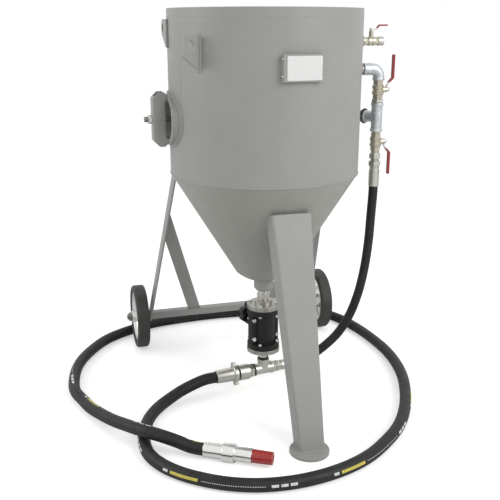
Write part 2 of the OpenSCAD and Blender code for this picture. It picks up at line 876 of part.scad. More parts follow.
// Wheels: profiles turned about the axle
module tyre(side) {
  shoulder = 9;
  r = wheel_d / 2;
  half = tyre_w / 2;
  steps = 6;
  corner = [for (i = [0 : steps]) let (a = i * 90 / steps)
    [r - shoulder + shoulder * cos(a), half - shoulder + shoulder * sin(a)]];
  upper = concat(corner, [[rim_d / 2 + 6, half - 2], [rim_d / 2, half - 5]]);
  lower = [for (i = [len(upper) - 1 : -1 : 0]) [upper[i][0], -upper[i][1]]];
  color(rubber) translate([side * half_track, axle_back, axle_z]) along_x()
    rotate_extrude($fn = 96) polygon(concat(upper, lower));
}

module rim(side) {
  band = 6;
  half = tyre_w / 2 - 5;
  disc = 4;
  bore_r = axle_d / 2 + run_fit;
  color(zinc) translate([side * half_track, axle_back, axle_z]) along_x() rotate_extrude($fn = 96) polygon([
    [rim_d / 2 - band, -half], [rim_d / 2, -half], [rim_d / 2, half], [rim_d / 2 - band, half],
    [rim_d / 2 - band, disc], [hub_d / 2, disc], [hub_d / 2, hub_l / 2], [bore_r, hub_l / 2],
    [bore_r, -hub_l / 2], [hub_d / 2, -hub_l / 2], [hub_d / 2, -disc], [rim_d / 2 - band, -disc],
  ]);
}

module left_tyre() tyre(-1);
module left_rim() rim(-1);
module right_tyre() tyre(1);
module right_rim() rim(1);

// Hex nipple drawn along +Z, its hexagon at mid length, its ends reaching into the fittings
module nipple(l, hex, hex_h, d, bore) {
  difference() {
    union() {
      cylinder(d = d, h = l);
      translate([0, 0, (l - hex_h) / 2]) hexagon(hex, hex_h);
    }
    translate([0, 0, -over]) cylinder(d = bore, h = l + 2 * over);
  }
}

module pipe_nipples() {
  vent_in = vent_x - vent_l / 2;
  color(zinc) {
    on_stack(air_tee_z + air_tee_reach) nipple(nipple_l, air_hex, nipple_hex_h, air_thread_d, air_bore);
    on_stack(air_tee_z - air_tee_reach - low_nipple_l) ring(air_thread_d, air_bore, low_nipple_l);
    on_stack(swivel_z) nipple(hose_nipple_l, air_hex, hose_nipple_hex_h, air_thread_d, air_bore);
    translate([tank_r - tank_wall, 0, elbow_z]) along_x()
      ring(air_thread_d, air_bore, stack_reach - elbow_side + tank_wall);
    translate([tank_r - tank_wall, 0, vent_z]) along_x()
      ring(air_thread_d, air_bore, vent_in - tank_r + tank_wall);
    translate([vent_x + vent_l / 2, 0, vent_z]) along_x()
      ring(vent_bush_d, air_bore * vent_scale, vent_bush_l);
    on_stack(air_tee_z) rotate([0, 0, inlet_turn]) translate([0, air_tee_reach + inlet_seal_t, 0]) along_y()
      nipple(inlet_nipple_l, air_hex + 2, nipple_hex_h, air_thread_d, air_bore);
    translate([0, 0, neck_z]) nipple(neck_nipple_l, 41, 14, neck_thread_d, blast_bore);
    translate([0, 0, seal_top_z]) ring(neck_thread_d - 4, blast_bore, drop_nipple_l);
    on_line() translate([-coupling_x, 0, 0]) along_x()
      nipple(line_nipple_l, line_hex, line_nipple_l - 2, neck_thread_d, blast_bore);
    on_line() translate([mix_reach, 0, 0]) along_x()
      nipple(air_nipple_l, 36, air_nipple_l - 2, air_thread_d, air_bore);
  }
}

// Round bend with its two straight ends, each run on by the given length
module elbow_run(d, past) {
  translate([-elbow_bend, 0, -elbow_bend]) rotate([90, 0, 0]) rotate_extrude(angle = 90)
    translate([elbow_bend, 0]) circle(d = d);
  translate([-elbow_side - past, 0, 0]) along_x() cylinder(d = d, h = elbow_side - elbow_bend + past);
  translate([0, 0, -elbow_reach - past]) cylinder(d = d, h = elbow_reach - elbow_bend + past);
}

module air_elbow() {
  color(zinc) on_stack(elbow_z) difference() {
    union() {
      elbow_run(elbow_d, 0);
      translate([-elbow_side, 0, 0]) along_x() cylinder(d = band_d, h = elbow_collar_l);
      translate([0, 0, -elbow_reach]) cylinder(d = band_d, h = 7);
    }
    elbow_run(air_bore, over);
  }
}

module air_tee() {
  r = air_tee_reach;
  color(zinc) on_stack(air_tee_z) rotate([0, 0, inlet_turn]) difference() {
    union() {
      translate([0, 0, -r]) cylinder(d = fitting_d + 2, h = 2 * r);
      for (z = [-r, r - 9]) translate([0, 0, z]) cylinder(d = band_d + 2, h = 9);
      along_y() cylinder(d = fitting_d + 2, h = r);
      translate([0, r - 9, 0]) along_y() cylinder(d = band_d + 2, h = 9);
    }
    translate([0, 0, -r - over]) cylinder(d = air_bore, h = 2 * r + 2 * over);
    along_y() cylinder(d = air_bore, h = r + over);
  }
}

// Two-claw coupling drawn along +Z, its claws at the far end
module claws(body_d, claw_reach, l, bore) {
  difference() {
    union() {
      cylinder(d = body_d - 6, h = l);
      translate([0, 0, l - 14]) cylinder(d = body_d, h = 14);
      intersection() {
        translate([0, 0, l - 10]) cylinder(d = claw_reach, h = 10);
        for (turn = [0, 180]) rotate([0, 0, turn]) translate([0, -11, l - 10]) cube([claw_reach, 22, 10]);
      }
    }
    translate([0, 0, -over]) cylinder(d = bore, h = l + 2 * over);
  }
}

module inlet_coupling() {
  color(zinc) on_stack(air_tee_z) rotate([0, 0, inlet_turn])
    translate([0, air_tee_reach + inlet_seal_t + inlet_nipple_l, 0]) along_y()
      rotate([0, 0, 90]) claws(claw_body_d, claw_d, claw_l, claw_bore);
}

module joint_seals() {
  color(rubber) {
    on_stack(air_tee_z) rotate([0, 0, inlet_turn]) translate([0, air_tee_reach, 0]) along_y()
      ring(inlet_seal_d, air_bore, inlet_seal_t);
    translate([0, 0, mix_top_z]) ring(mix_d, blast_bore, seal_t);
    on_line() translate([-coupling_seal_x, 0, 0]) along_x() ring(mix_band_d + 1, blast_bore, seal_t);
    on_line() translate([-hose_coupling_x, 0, 0]) along_x() ring(coupling_d - 6, blast_bore, gasket_t);
  }
}

// Ball valves, drawn with the flow along Z and the stem along +X
function lever_base(neck) = valve_d / 2 + neck + 2;

// Round middle of a valve: two drums with bevelled edges and a groove between them
module valve_drums() {
  half = valve_l / 2 - hex_l;
  r = valve_d / 2;
  edge = 3;
  side = [
    [r - drum_groove, drum_gap / 2], [r, drum_gap / 2 + drum_groove],
    [r, half - edge], [r - edge, half], [0, half],
  ];
  lower = [for (i = [len(side) - 1 : -1 : 0]) [side[i][0], -side[i][1]]];
  rotate_extrude() polygon(concat(side, lower));
}

module valve_body(neck = stem_boss_l) {
  difference() {
    union() {
      for (flip = [0, 1]) mirror([0, 0, flip])
        translate([0, 0, valve_l / 2 - hex_l]) hexagon(valve_hex, hex_l);
      valve_drums();
      along_x() cylinder(d = stem_boss_d, h = valve_d / 2 + neck);
    }
    cylinder(d = air_bore, h = valve_l + 2 * over, center = true);
    sphere(d = ball_d + 2 * gap);
    along_x() cylinder(d = stem_d + 2 * run_fit, h = 2 * valve_d);
  }
}

module valve_ball(neck = stem_boss_l) {
  difference() {
    union() {
      sphere(d = ball_d);
      along_x() cylinder(d = stem_d, h = lever_base(neck) + lever_t);
    }
    cylinder(d = air_bore - 2, h = ball_d + 2 * over, center = true);
  }
}

// Side view of a lever from one distance along it to another, thickened by extra on both faces
module lever_side(from, to, extra, neck) {
  a = lever_base(neck) - extra;
  b = lever_base(neck) + lever_t + extra;
  climb = (lever_bend_end - lever_bend) / lever_step;
  start_step = max(0, (from - lever_bend) / climb);
  start = from > lever_bend
    ? [[b + start_step, from], [a + start_step, from]]
    : [[b, lever_bend - lever_t / 2], [b, from], [a, from], [a, lever_bend]];
  polygon(concat(start, [
    [a + lever_step, lever_bend_end], [a + lever_step, to], [b + lever_step, to],
    [b + lever_step, lever_bend_end - lever_t / 2],
  ]));
}

module valve_lever(l, neck = stem_boss_l) {
  difference() {
    union() {
      rotate([90, 0, 0]) linear_extrude(lever_w, center = true) lever_side(-lever_root, l, 0, neck);
      translate([lever_base(neck), 0, 0]) along_x() cylinder(d = lever_eye_d, h = lever_t);
    }
    along_x() cylinder(d = stem_d, h = 2 * valve_d);
  }
  translate([lever_base(neck) + lever_t, 0, 0]) along_x() hexagon(stem_nut, stem_nut_h);
}

module valve_grip(l, neck = stem_boss_l) {
  difference() {
    rotate([90, 0, 0]) linear_extrude(lever_w + 2 * grip_wall, center = true)
      lever_side(grip_start, l + 4, grip_wall, neck);
    rotate([90, 0, 0]) linear_extrude(lever_w, center = true) lever_side(-lever_root, l, 0, neck);
  }
}

module flip_down() {
  mirror([0, 0, 1]) children();
}

module tank_valve_body() {
  color(nickel) on_stack(tank_valve_z) valve_body();
}

module tank_valve_ball() {
  color(zinc) on_stack(tank_valve_z) valve_ball();
}

module tank_valve_lever() {
  color(zinc) on_stack(tank_valve_z) valve_lever(lever_l);
}

module tank_valve_grip() {
  color(red) on_stack(tank_valve_z) valve_grip(lever_l);
}

module blast_valve_body() {
  color(nickel) on_stack(blast_valve_z) valve_body();
}

module blast_valve_ball() {
  color(zinc) on_stack(blast_valve_z) flip_down() valve_ball();
}

module blast_valve_lever() {
  color(zinc) on_stack(blast_valve_z) flip_down() valve_lever(lever_l);
}

module blast_valve_grip() {
  color(red) on_stack(blast_valve_z) flip_down() valve_grip(lever_l);
}

// The vent valve lies level, its stem up and its lever pointing out
module on_vent() {
  translate([vent_x, 0, vent_z]) scale(vent_scale) rotate([0, 90, 0]) mirror([1, 0, 0]) children();
}

module vent_valve_body() {
  color(nickel) on_vent() valve_body(vent_neck);
}

module vent_valve_ball() {
  color(zinc) on_vent() valve_ball(vent_neck);
}

module vent_valve_lever() {
  color(zinc) on_vent() valve_lever(vent_lever_l, vent_neck);
}

module vent_valve_grip() {
  color(red) on_vent() valve_grip(vent_lever_l, vent_neck);
}

// Swivel nut and crimped ferrule of the air hose, drawn along -Z from the nipple
module hose_fitting(nut_l) {
  translate([0, 0, -nut_l]) difference() {
    union() {
      translate([0, 0, nut_l / 2]) hexagon(swivel_hex - 4, nut_l / 2);
      cylinder(d1 = air_thread_d + 4, d2 = swivel_hex - 5, h = nut_l / 2 + over);
    }
    translate([0, 0, -over]) cylinder(d = air_bore, h = nut_l + 2 * over);
  }
  translate([0, 0, -nut_l - ferrule_l]) ring(ferrule_d, air_bore, ferrule_l);
}

module air_hose_fittings() {
  color(zinc) {
    on_stack(swivel_z) hose_fitting(swivel_l);
    on_line() translate([mix_reach + air_nipple_l, 0, 0]) rotate([0, -90, 0])
      hose_fitting(air_end_swivel_l);
  }
}

function on_line_at(x) = [x * cos(line_turn), x * sin(line_turn), blast_z];

module air_hose() {
  top = [stack_x, 0, air_hose_z];
  low = on_line_at(air_end);
  span = low - top;
  way = [for (share = AIR_ROUTE) top + [span[0] * share[0], span[1] * share[2], span[2] * share[1]]];
  color(rubber) hose(concat([top], way, [on_line_at(air_end + air_hose_d), low]), air_hose_d, 10,
                     [0, 0, -1], [-cos(line_turn), -sin(line_turn), 0], [0, 1, 0]);
}

module outlet_socket() {
  color(paint) difference() {
    translate([0, 0, socket_z]) {
      cylinder(d1 = socket_end_d, d2 = socket_d, h = socket_taper);
      translate([0, 0, socket_taper]) cylinder(d = socket_d, h = socket_l - socket_taper + 8);
    }
    translate([0, 0, socket_z - over]) cylinder(d = neck_thread_d, h = socket_l + 20);
    translate([0, 0, cap_mid_z]) sphere(r = cap_radius, $fn = 128);
  }
}

// Pinch valve
module bolt_places() {
  for (turn = [45 : 90 : 315]) rotate([0, 0, turn]) translate([bolt_circle_d / 2, 0, 0]) children();
}

module pinch_top_flange() {
  color(zinc) on_pinch() translate([0, 0, pinch_top_z]) difference() {
    union() {
      cylinder(d = flange_d, h = flange_t);
      cylinder(d = neck_hub_d, h = flange_t + hub_h);
    }
    translate([0, 0, -over]) cylinder(d = blast_bore, h = flange_t + hub_h + 2 * over);
    bolt_places() translate([0, 0, -over]) cylinder(d = bolt_hole_d, h = flange_t + 2 * over);
  }
}

module pinch_bottom_flange() {
  color(zinc) on_pinch() translate([0, 0, plate_z]) difference() {
    cylinder(d = flange_d, h = plate_t);
    translate([0, 0, -over]) cylinder(d = blast_bore, h = plate_t + 2 * over);
    bolt_places() translate([0, 0, -over]) cylinder(d = bolt_hole_d, h = plate_t + 2 * over);
  }
}

// Round bar whose own start line stays off the split plane
module round_bar(d, h) {
  rotate([0, 0, 50]) cylinder(d = d, h = h);
}

// Both halves of the split body, before they are cut apart
module pinch_body() {
  difference() {
    union() {
      translate([0, 0, pinch_z]) round_bar(pinch_d, pinch_l);
      for (z = [pinch_z, pinch_top_z - rim_h]) translate([0, 0, z]) round_bar(flange_d - 2, rim_h);
      translate([-seam_w / 2, -seam_t, pinch_z + seam_inset])
        cube([seam_w, 2 * seam_t, pinch_l - 2 * seam_inset]);
      translate([-bar_w / 2 - housing_wall, bar_y, spindle_z - bar_h / 2 - housing_wall])
        cube([bar_w + 2 * housing_wall, bar_t + housing_wall, bar_h + 2 * housing_wall]);
      translate([0, bar_y, spindle_z]) along_y() cylinder(d = spindle_boss_d, h = spindle_boss_y - bar_y);
    }
    translate([0, 0, pinch_z - over]) round_bar(pinch_cavity_d, pinch_l + 2 * over);
    translate([-bar_w / 2 - gap, bar_t / 2, spindle_z - bar_h / 2 - gap])
      cube([bar_w + 2 * gap, bar_y + bar_t / 2 + gap, bar_h + 2 * gap]);
    translate([0, 0, spindle_z]) along_y() cylinder(d = spindle_d + 2 * run_fit, h = spindle_boss_y + over);
    for (z = [pinch_z, pinch_top_z - rim_h]) bolt_places()
      translate([0, 0, z - over]) cylinder(d = bolt_hole_d, h = rim_h + 2 * over);
    for (z = [pinch_z + nut_seat, pinch_top_z - nut_seat - pocket_h]) bolt_places()
      translate([0, 0, z]) cylinder(d = pocket_d, h = pocket_h);
    for (side = [-1, 1]) for (z = seam_heights)
      translate([side * seam_x, -2 * seam_t, z]) along_y() cylinder(d = bolt_hole_d, h = 4 * seam_t);
  }
}

module pinch_half(side) {
  color(black_iron) on_pinch() intersection() {
    pinch_body();
    translate([-flange_d, side > 0 ? 0 : -flange_d, 0]) cube([2 * flange_d, flange_d, pinch_top_z]);
  }
}

module pinch_body_front() pinch_half(-1);
module pinch_body_rear() pinch_half(1);

module pinch_sleeve() {
  color(rubber) translate([0, 0, pinch_z]) ring(sleeve_d, blast_bore, pinch_l);
}

module pinch_bar() {
  color(black_iron) on_pinch() difference() {
    translate([-bar_w / 2, bar_y, spindle_z - bar_h / 2]) cube([bar_w, bar_t, bar_h]);
    translate([0, 0, spindle_z]) along_y() cylinder(d = spindle_d + 2 * run_fit, h = spindle_boss_y);
  }
}

module pinch_spindle() {
  color(zinc) on_pinch() translate([0, bar_y + 1, spindle_z]) along_y()
    cylinder(d = spindle_d, h = handwheel_y + wheel_t + 4 - bar_y - 1);
}

module pinch_handwheel() {
  lobe_d = handwheel_d * lobe_share;
  color(black_iron) on_pinch() translate([0, handwheel_y, spindle_z]) along_y() difference() {
    union() {
      cylinder(d = handwheel_d - lobe_d, h = wheel_t);
      for (i = [0 : lobes - 1]) rotate([0, 0, i * 360 / lobes])
        translate([(handwheel_d - lobe_d) / 2, 0, 0]) cylinder(d = lobe_d, h = wheel_t);
    }
    translate([0, 0, -over]) cylinder(d = spindle_d, h = wheel_t + 2 * over);
  }
}

// Bolt with its head up and its nut below, drawn from the underside of the head
module bolt(grip_l) {
  hexagon(bolt_hex, bolt_head_h);
  translate([0, 0, -grip_l - bolt_head_h - 3]) cylinder(d = pinch_bolt_d, h = grip_l + bolt_head_h + 3);
  translate([0, 0, -grip_l - bolt_head_h]) hexagon(bolt_hex, bolt_head_h);
}

module pinch_bolts() {
  color(zinc) on_pinch() {
    bolt_places() translate([0, 0, hub_z]) bolt(flange_t + nut_seat);
    bolt_places() translate([0, 0, plate_z]) mirror([0, 0, 1]) bolt(plate_t + nut_seat);
    for (side = [-1, 1]) for (z = seam_heights)
      translate([side * seam_x, -seam_t, z]) rotate([90, 0, 0]) bolt(2 * seam_t);
  }
}

// Blast line
module mixing_tee() {
  color(zinc) on_line() difference() {
    union() {
      translate([-mix_reach, 0, 0]) along_x() cylinder(d = mix_d, h = 2 * mix_reach);
      for (x = [-mix_reach, mix_reach - 8]) translate([x, 0, 0]) along_x() cylinder(d = mix_band_d, h = 8);
      cylinder(d = mix_d, h = mix_top_z - blast_z);
      translate([0, 0, mix_top_z - blast_z - 8]) cylinder(d = mix_band_d, h = 8);
    }
    translate([-mix_reach - over, 0, 0]) along_x() cylinder(d = blast_bore, h = 2 * (mix_reach + over));
    cylinder(d = blast_bore, h = mix_top_z);
  }
}

module tank_coupling() {
  color(zinc) on_line() translate([-coupling_x, 0, 0]) rotate([0, -90, 0]) difference() {
    union() {
      cylinder(d = coupling_d - 6, h = coupling_l);
      translate([0, 0, 5]) cylinder(d = coupling_d, h = coupling_l - 5);
    }
    translate([0, 0, -over]) cylinder(d = blast_bore, h = coupling_l + 2 * over);
  }
}

module hose_coupling() {
  color(zinc) on_line() translate([-hose_coupling_x, 0, 0]) rotate([0, -90, 0]) difference() {
    union() {
      cylinder(d = coupling_d + 4, h = coupling_flange_t);
      intersection() {
        cylinder(d = coupling_lug, h = coupling_flange_t);
        rotate([0, 0, 20]) translate([-coupling_lug / 2, -coupling_lug_w / 2, 0])
          cube([coupling_lug, coupling_lug_w, coupling_flange_t]);
      }
      translate([0, 0, coupling_flange_t])
        cylinder(d1 = coupling_neck_d, d2 = coupling_sleeve_d, h = hose_coupling_l - coupling_flange_t);
    }
    translate([0, 0, -over]) cylinder(d = blast_bore, h = hose_coupling_l + 2 * over);
  }
}

module blast_hose() {
  aim = [cos(nozzle_turn), sin(nozzle_turn), 0];
  color(rubber) hose(concat([on_line_at(-blast_start)], BLAST_ROUTE, [nozzle_at]), blast_hose_d, 10,
                     [-cos(line_turn), -sin(line_turn), 0], aim, [0, 0, 1]);
}

module on_nozzle(along) {
  translate(nozzle_at) rotate([0, 0, nozzle_turn]) translate([along, 0, 0]) along_x() children();
}

module nozzle_holder() {
  color(zinc) on_nozzle(0) difference() {
    union() {
      cylinder(d1 = holder_sleeve_d - 2, d2 = holder_sleeve_d, h = holder_sleeve_l);
      translate([0, 0, holder_sleeve_l]) cylinder(d = holder_collar_d, h = holder_collar_l);
      translate([0, 0, holder_sleeve_l + holder_collar_l])
        cylinder(d = holder_barrel_d, h = holder_barrel_l);
    }
    translate([0, 0, -over]) cylinder(d = blast_bore, h = holder_l + 2 * over);
  }
}

module blast_nozzle() {
  color(nozzle_red) on_nozzle(holder_l) difference() {
    cylinder(d1 = nozzle_d, d2 = nozzle_tip_d, h = nozzle_l);
    translate([0, 0, -over]) cylinder(d = nozzle_bore_d, h = nozzle_l + 2 * over);
    translate([0, 0, -over]) cylinder(d1 = blast_bore, d2 = nozzle_bore_d, h = nozzle_l / 2);
    translate([0, 0, nozzle_l / 2])
      cylinder(d1 = nozzle_bore_d, d2 = nozzle_mouth_d, h = nozzle_l / 2 + over);
  }
}

tank_shell();
tank_cone();
top_head();
fill_seat();
popup_plug();
popup_air_pipe();
shell_sockets();
hatch_ring();
hatch_gasket();
hatch_cover();
hatch_bridge();
hatch_nut();
lifting_lugs();
plate_bracket();
front_leg();
front_foot();
rear_leg_left();
rear_leg_right();
rear_braces();
axle_beam();
axle_bolts();
left_tyre();
left_rim();
right_tyre();
right_rim();
pipe_nipples();
air_elbow();
air_tee();
inlet_coupling();
joint_seals();
tank_valve_body();
tank_valve_ball();
tank_valve_lever();
tank_valve_grip();
blast_valve_body();
blast_valve_ball();
blast_valve_lever();
blast_valve_grip();
vent_valve_body();
vent_valve_ball();
vent_valve_lever();
vent_valve_grip();
air_hose_fittings();
air_hose();
outlet_socket();
pinch_top_flange();
pinch_bottom_flange();
pinch_body_front();
pinch_body_rear();
pinch_sleeve();
pinch_bar();
pinch_spindle();
pinch_handwheel();
pinch_bolts();
mixing_tee();
tank_coupling();
hose_coupling();
blast_hose();
nozzle_holder();
blast_nozzle();
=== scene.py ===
"""Looks of the abrasive blasting pot: materials, hoses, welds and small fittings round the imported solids."""
import math

import bmesh
import bpy
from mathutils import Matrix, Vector


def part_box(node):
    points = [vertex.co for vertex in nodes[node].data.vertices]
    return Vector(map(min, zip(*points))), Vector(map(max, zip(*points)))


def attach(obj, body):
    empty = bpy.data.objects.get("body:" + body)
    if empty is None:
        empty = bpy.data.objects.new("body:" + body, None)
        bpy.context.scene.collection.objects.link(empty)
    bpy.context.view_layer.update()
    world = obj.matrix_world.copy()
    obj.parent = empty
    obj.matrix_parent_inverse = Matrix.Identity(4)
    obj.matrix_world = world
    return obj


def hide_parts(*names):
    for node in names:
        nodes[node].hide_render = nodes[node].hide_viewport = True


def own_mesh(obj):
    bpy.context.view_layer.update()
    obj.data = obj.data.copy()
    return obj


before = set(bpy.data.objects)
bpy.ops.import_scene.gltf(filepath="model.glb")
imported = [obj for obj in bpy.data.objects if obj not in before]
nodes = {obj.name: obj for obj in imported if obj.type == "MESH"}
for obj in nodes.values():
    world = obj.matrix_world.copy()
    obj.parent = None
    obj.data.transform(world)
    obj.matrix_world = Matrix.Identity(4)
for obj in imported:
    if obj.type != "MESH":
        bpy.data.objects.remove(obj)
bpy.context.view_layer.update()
UP = Vector((0, 0, 1))

# Vessel sizes shared with the solids, in metres; the cone's slope is its run inwards per metre of fall
TANK_R = 0.300
RIM_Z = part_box("tank_shell")[1].z
JOINT_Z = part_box("tank_shell")[0].z
CONE_SLOPE = math.tan(math.radians(31.5))
OUTLET_R, OUTLET_Z = 0.0332, 0.3840
HATCH_Z = 0.927716
STUD_FROM = -0.2725

# Undercarriage: wheel hubs, and a rear leg's inner face at hub height with its lean inwards per metre up
WHEEL_X, WHEEL_Y, WHEEL_R = 0.366, 0.440, 0.120
LEG_FACE = 0.32245
LEG_LEAN = 0.0951

# Air manifold and blast line
STACK_X = 0.388
ELBOW_Z = JOINT_Z + 0.313
VENT_Z = ELBOW_Z + 0.087
BLAST_Z = 0.052
LINE_TURN = math.radians(8)
NOZZLE_TURN = math.radians(-30)

# Camera, fitted to the photograph
CAMERA_AT = (-0.7051, -2.3072, 1.2065)
CAMERA_AIM = Vector((0.2626, 0.9212, -0.2872))
CAMERA_LENS = 54.35
CAMERA_SENSOR = 36


def make_camera():
    camera = bpy.data.objects.new("camera", bpy.data.cameras.new("camera"))
    camera.location = CAMERA_AT
    camera.rotation_euler = CAMERA_AIM.to_track_quat("-Z", "Y").to_euler()
    camera.data.lens = CAMERA_LENS
    camera.data.sensor_width = CAMERA_SENSOR
    bpy.context.scene.collection.objects.link(camera)
    bpy.context.scene.camera = camera


make_camera()


# Mesh helpers
def new_piece(name, verts, face_list, material, body="frame", smooth=True):
    mesh = bpy.data.meshes.new(name)
    mesh.from_pydata([tuple(v) for v in verts], [], face_list)
    mesh.polygons.foreach_set("use_smooth", [smooth] * len(mesh.polygons))
    mesh.update()
    piece = bpy.data.objects.new(name, mesh)
    bpy.context.scene.collection.objects.link(piece)
    mesh.materials.append(material)
    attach(piece, body)
    return piece


def ring_faces(ring_count, sides, closed):
    """Quads between rings of points; an open run gets flat ends."""
    faces = []
    for i in range(ring_count if closed else ring_count - 1):
        j = (i + 1) % ring_count
        for k in range(sides):
            m = (k + 1) % sides
            faces.append((i * sides + k, i * sides + m, j * sides + m, j * sides + k))
    if not closed:
        faces.append(tuple(reversed(range(sides))))
        faces.append(tuple(range((ring_count - 1) * sides, ring_count * sides)))
    return faces


def smooth_path(points, first, last, step):
    """Points about step apart on one smooth curve through the given ones, with set directions at its ends."""
    points = [Vector(p) for p in points]
    slopes = [Vector(first).normalized() * (points[1] - points[0]).length]
    for before, here, after in zip(points, points[1:], points[2:]):
        a = (here - before).length
        b = (after - here).length
        slopes.append(((here - before) * (b / a) + (after - here) * (a / b)) / (a + b))
    slopes.append(Vector(last).normalized() * (points[-1] - points[-2]).length)
    path = []
    for i in range(len(points) - 1):
        start, end = points[i], points[i + 1]
        span = (end - start).length
        count = max(2, round(span / step))
        leave = slopes[i] if i == 0 else slopes[i] * span
        arrive = slopes[i + 1] if i + 2 == len(points) else slopes[i + 1] * span
        for n in range(count):
            t = n / count
            path.append(start * (2 * t**3 - 3 * t**2 + 1) + leave * (t**3 - 2 * t**2 + t)
                        + end * (3 * t**2 - 2 * t**3) + arrive * (t**3 - t**2))
    path.append(points[-1])
    return path


def path_directions(path, first, last):
    aims = [Vector(first).normalized()]
    for before, after in zip(path, path[2:]):
        aims.append((after - before).normalized())
    aims.append(Vector(last).normalized())
    return aims


def lengths_along(path):
    total = 0.0
    marks = [0.0]
    for a, b in zip(path, path[1:]):
        total += (b - a).length
        marks.append(total)
    return marks


# Materials
class Look:
    """A procedural material, with short calls for the nodes used here. Coordinates are the frame's metres."""

    NOISE_ROUGHNESS = 0.55
    EDGE_SAMPLES = 6
    FLAT_DOT, EDGE_DOT = 0.97, 0.75
    GLOSS_LOW, GLOSS_HIGH = 0.3, 0.7
    MIX_A, MIX_B, MIX_RESULT = 6, 7, 2

    def __init__(self, name, colour, roughness, metallic=0.0):
        self.material = bpy.data.materials.new(name)
        self.material.use_nodes = True
        self.tree = self.material.node_tree
        self.shader = self.tree.nodes["Principled BSDF"]
        self.set("Base Color", (*colour, 1))
        self.set("Roughness", roughness)
        self.set("Metallic", metallic)
        self.place = self.node("ShaderNodeTexCoord").outputs["Object"]

    def set(self, socket, value):
        """Gives one of the shader's inputs a value, or links it to another node's output."""
        self.feed(self.shader.inputs[socket], value)

    def node(self, kind, inputs=(), **settings):
        made = self.tree.nodes.new(kind)
        for key, value in settings.items():
            setattr(made, key, value)
        for socket, value in dict(inputs).items():
            self.feed(made.inputs[socket], value)
        return made

    def feed(self, socket, value):
        if isinstance(value, bpy.types.NodeSocket):
            self.tree.links.new(value, socket)
        else:
            socket.default_value = value

    def math(self, operation, a, b=0.0, c=0.0):
        return self.node("ShaderNodeMath", {0: a, 1: b, 2: c}, operation=operation).outputs[0]

    def product(self, a, b):
        return self.math("MULTIPLY", a, b)

    def stretched(self, x, y, z):
        inputs = {0: self.place, 1: (x, y, z)}
        return self.node("ShaderNodeVectorMath", inputs, operation="MULTIPLY").outputs[0]

    def axes(self, place):
        """The X and Y of a place."""
        split = self.node("ShaderNodeSeparateXYZ", {0: place})
        return split.outputs["X"], split.outputs["Y"]

    def noise(self, scale, detail=3, at=None):
        made = self.node("ShaderNodeTexNoise", {"Vector": at or self.place, "Scale": scale, "Detail": detail})
        self.feed(made.inputs["Roughness"], self.NOISE_ROUGHNESS)
        return made.outputs["Fac"]

    def span(self, value, low, high, to_low=0.0, to_high=1.0):
        inputs = {0: value, 1: low, 2: high, 3: to_low, 4: to_high}
        return self.node("ShaderNodeMapRange", inputs, clamp=True).outputs[0]

    def mix(self, share, a, b):
        made = self.node("ShaderNodeMix", data_type="RGBA")
        self.feed(made.inputs[0], share)
        for socket, value in ((self.MIX_A, a), (self.MIX_B, b)):
            linked = isinstance(value, bpy.types.NodeSocket)
            self.feed(made.inputs[socket], value if linked else (*value, 1))
        return made.outputs[self.MIX_RESULT]

    def edges(self, radius):
        """Share from 0 on flats to 1 on outer and inner edges."""
        bevel = self.node("ShaderNodeBevel", {"Radius": radius}, samples=self.EDGE_SAMPLES).outputs[0]
        true = self.node("ShaderNodeNewGeometry").outputs["Normal"]
        dot = self.node("ShaderNodeVectorMath", {0: bevel, 1: true}, operation="DOT_PRODUCT").outputs["Value"]
        return self.span(dot, self.FLAT_DOT, self.EDGE_DOT)

    def cloud(self, scale, detail=3, low=0.35, high=0.7):
        """Share from 0 to 1 in soft patches."""
        return self.span(self.noise(scale, detail), low, high)

    def with_edge_highlight(self, tone, light, width, share):
        """A tone that goes over to a lighter one, by a share, along edges of a width: a painted highlight on
        the edges.
        """
        return self.mix(self.product(self.edges(width), share), tone, light)

    def colour(self, value):
        self.set("Base Color", value)

    def gloss(self, scale, low, high):
        """Roughness that wanders between two values."""
        self.set("Roughness", self.span(self.noise(scale), self.GLOSS_LOW, self.GLOSS_HIGH, low, high))

    def bump(self, height, strength, distance):
        inputs = {"Height": height, "Strength": strength, "Distance": distance}
        before = self.shader.inputs["Normal"]
        if before.is_linked:
            inputs["Normal"] = before.links[0].from_socket
        self.feed(before, self.node("ShaderNodeBump", inputs).outputs[0])

    def grain(self, scale, detail, strength, distance):
        """Fine unevenness of the surface."""
        self.bump(self.noise(scale, detail), strength, distance)


# Grey paint, plain and on the cone
GREY = (0.315, 0.312, 0.300)
GREY_CLOUD = (0.335, 0.332, 0.320)
# GREY_LIGHT is the colour of the painted highlight along the paint's edges
GREY_LIGHT = (0.42, 0.418, 0.405)
GREY_DARK = (0.265, 0.262, 0.250)
DUST_SHARE = 0.35
# The cone's copy of the paint is warmer and a little darker: painted reflection of the floor
CONE_GREY = (0.308, 0.306, 0.280)
CONE_CLOUD = (0.330, 0.328, 0.302)
CONE_FLATS = 34
FLAT_BOW = 0.09


def painted(name, colour, patches):
    """Paint with a fine grain, and its colour in soft patches."""
    look = Look(name, colour, roughness=0.42)
    look.gloss(scale=40, low=0.36, high=0.5)
    look.grain(scale=420, detail=2, strength=0.12, distance=0.0006)
    return look, look.mix(look.cloud(scale=5, detail=4), colour, patches)


def grey_paint():
    look, tone = painted("grey_paint", GREY, GREY_CLOUD)
    dust = look.product(look.cloud(scale=160, detail=2, low=0.62, high=0.78), DUST_SHARE)
    # Dust patches darken the tone at random; the lighter edges are a painted highlight
    look.colour(look.with_edge_highlight(look.mix(dust, tone, GREY_DARK), GREY_LIGHT, width=0.0035, share=0.6))
    look.grain(scale=14, detail=2, strength=0.10, distance=0.004)
    return look.material


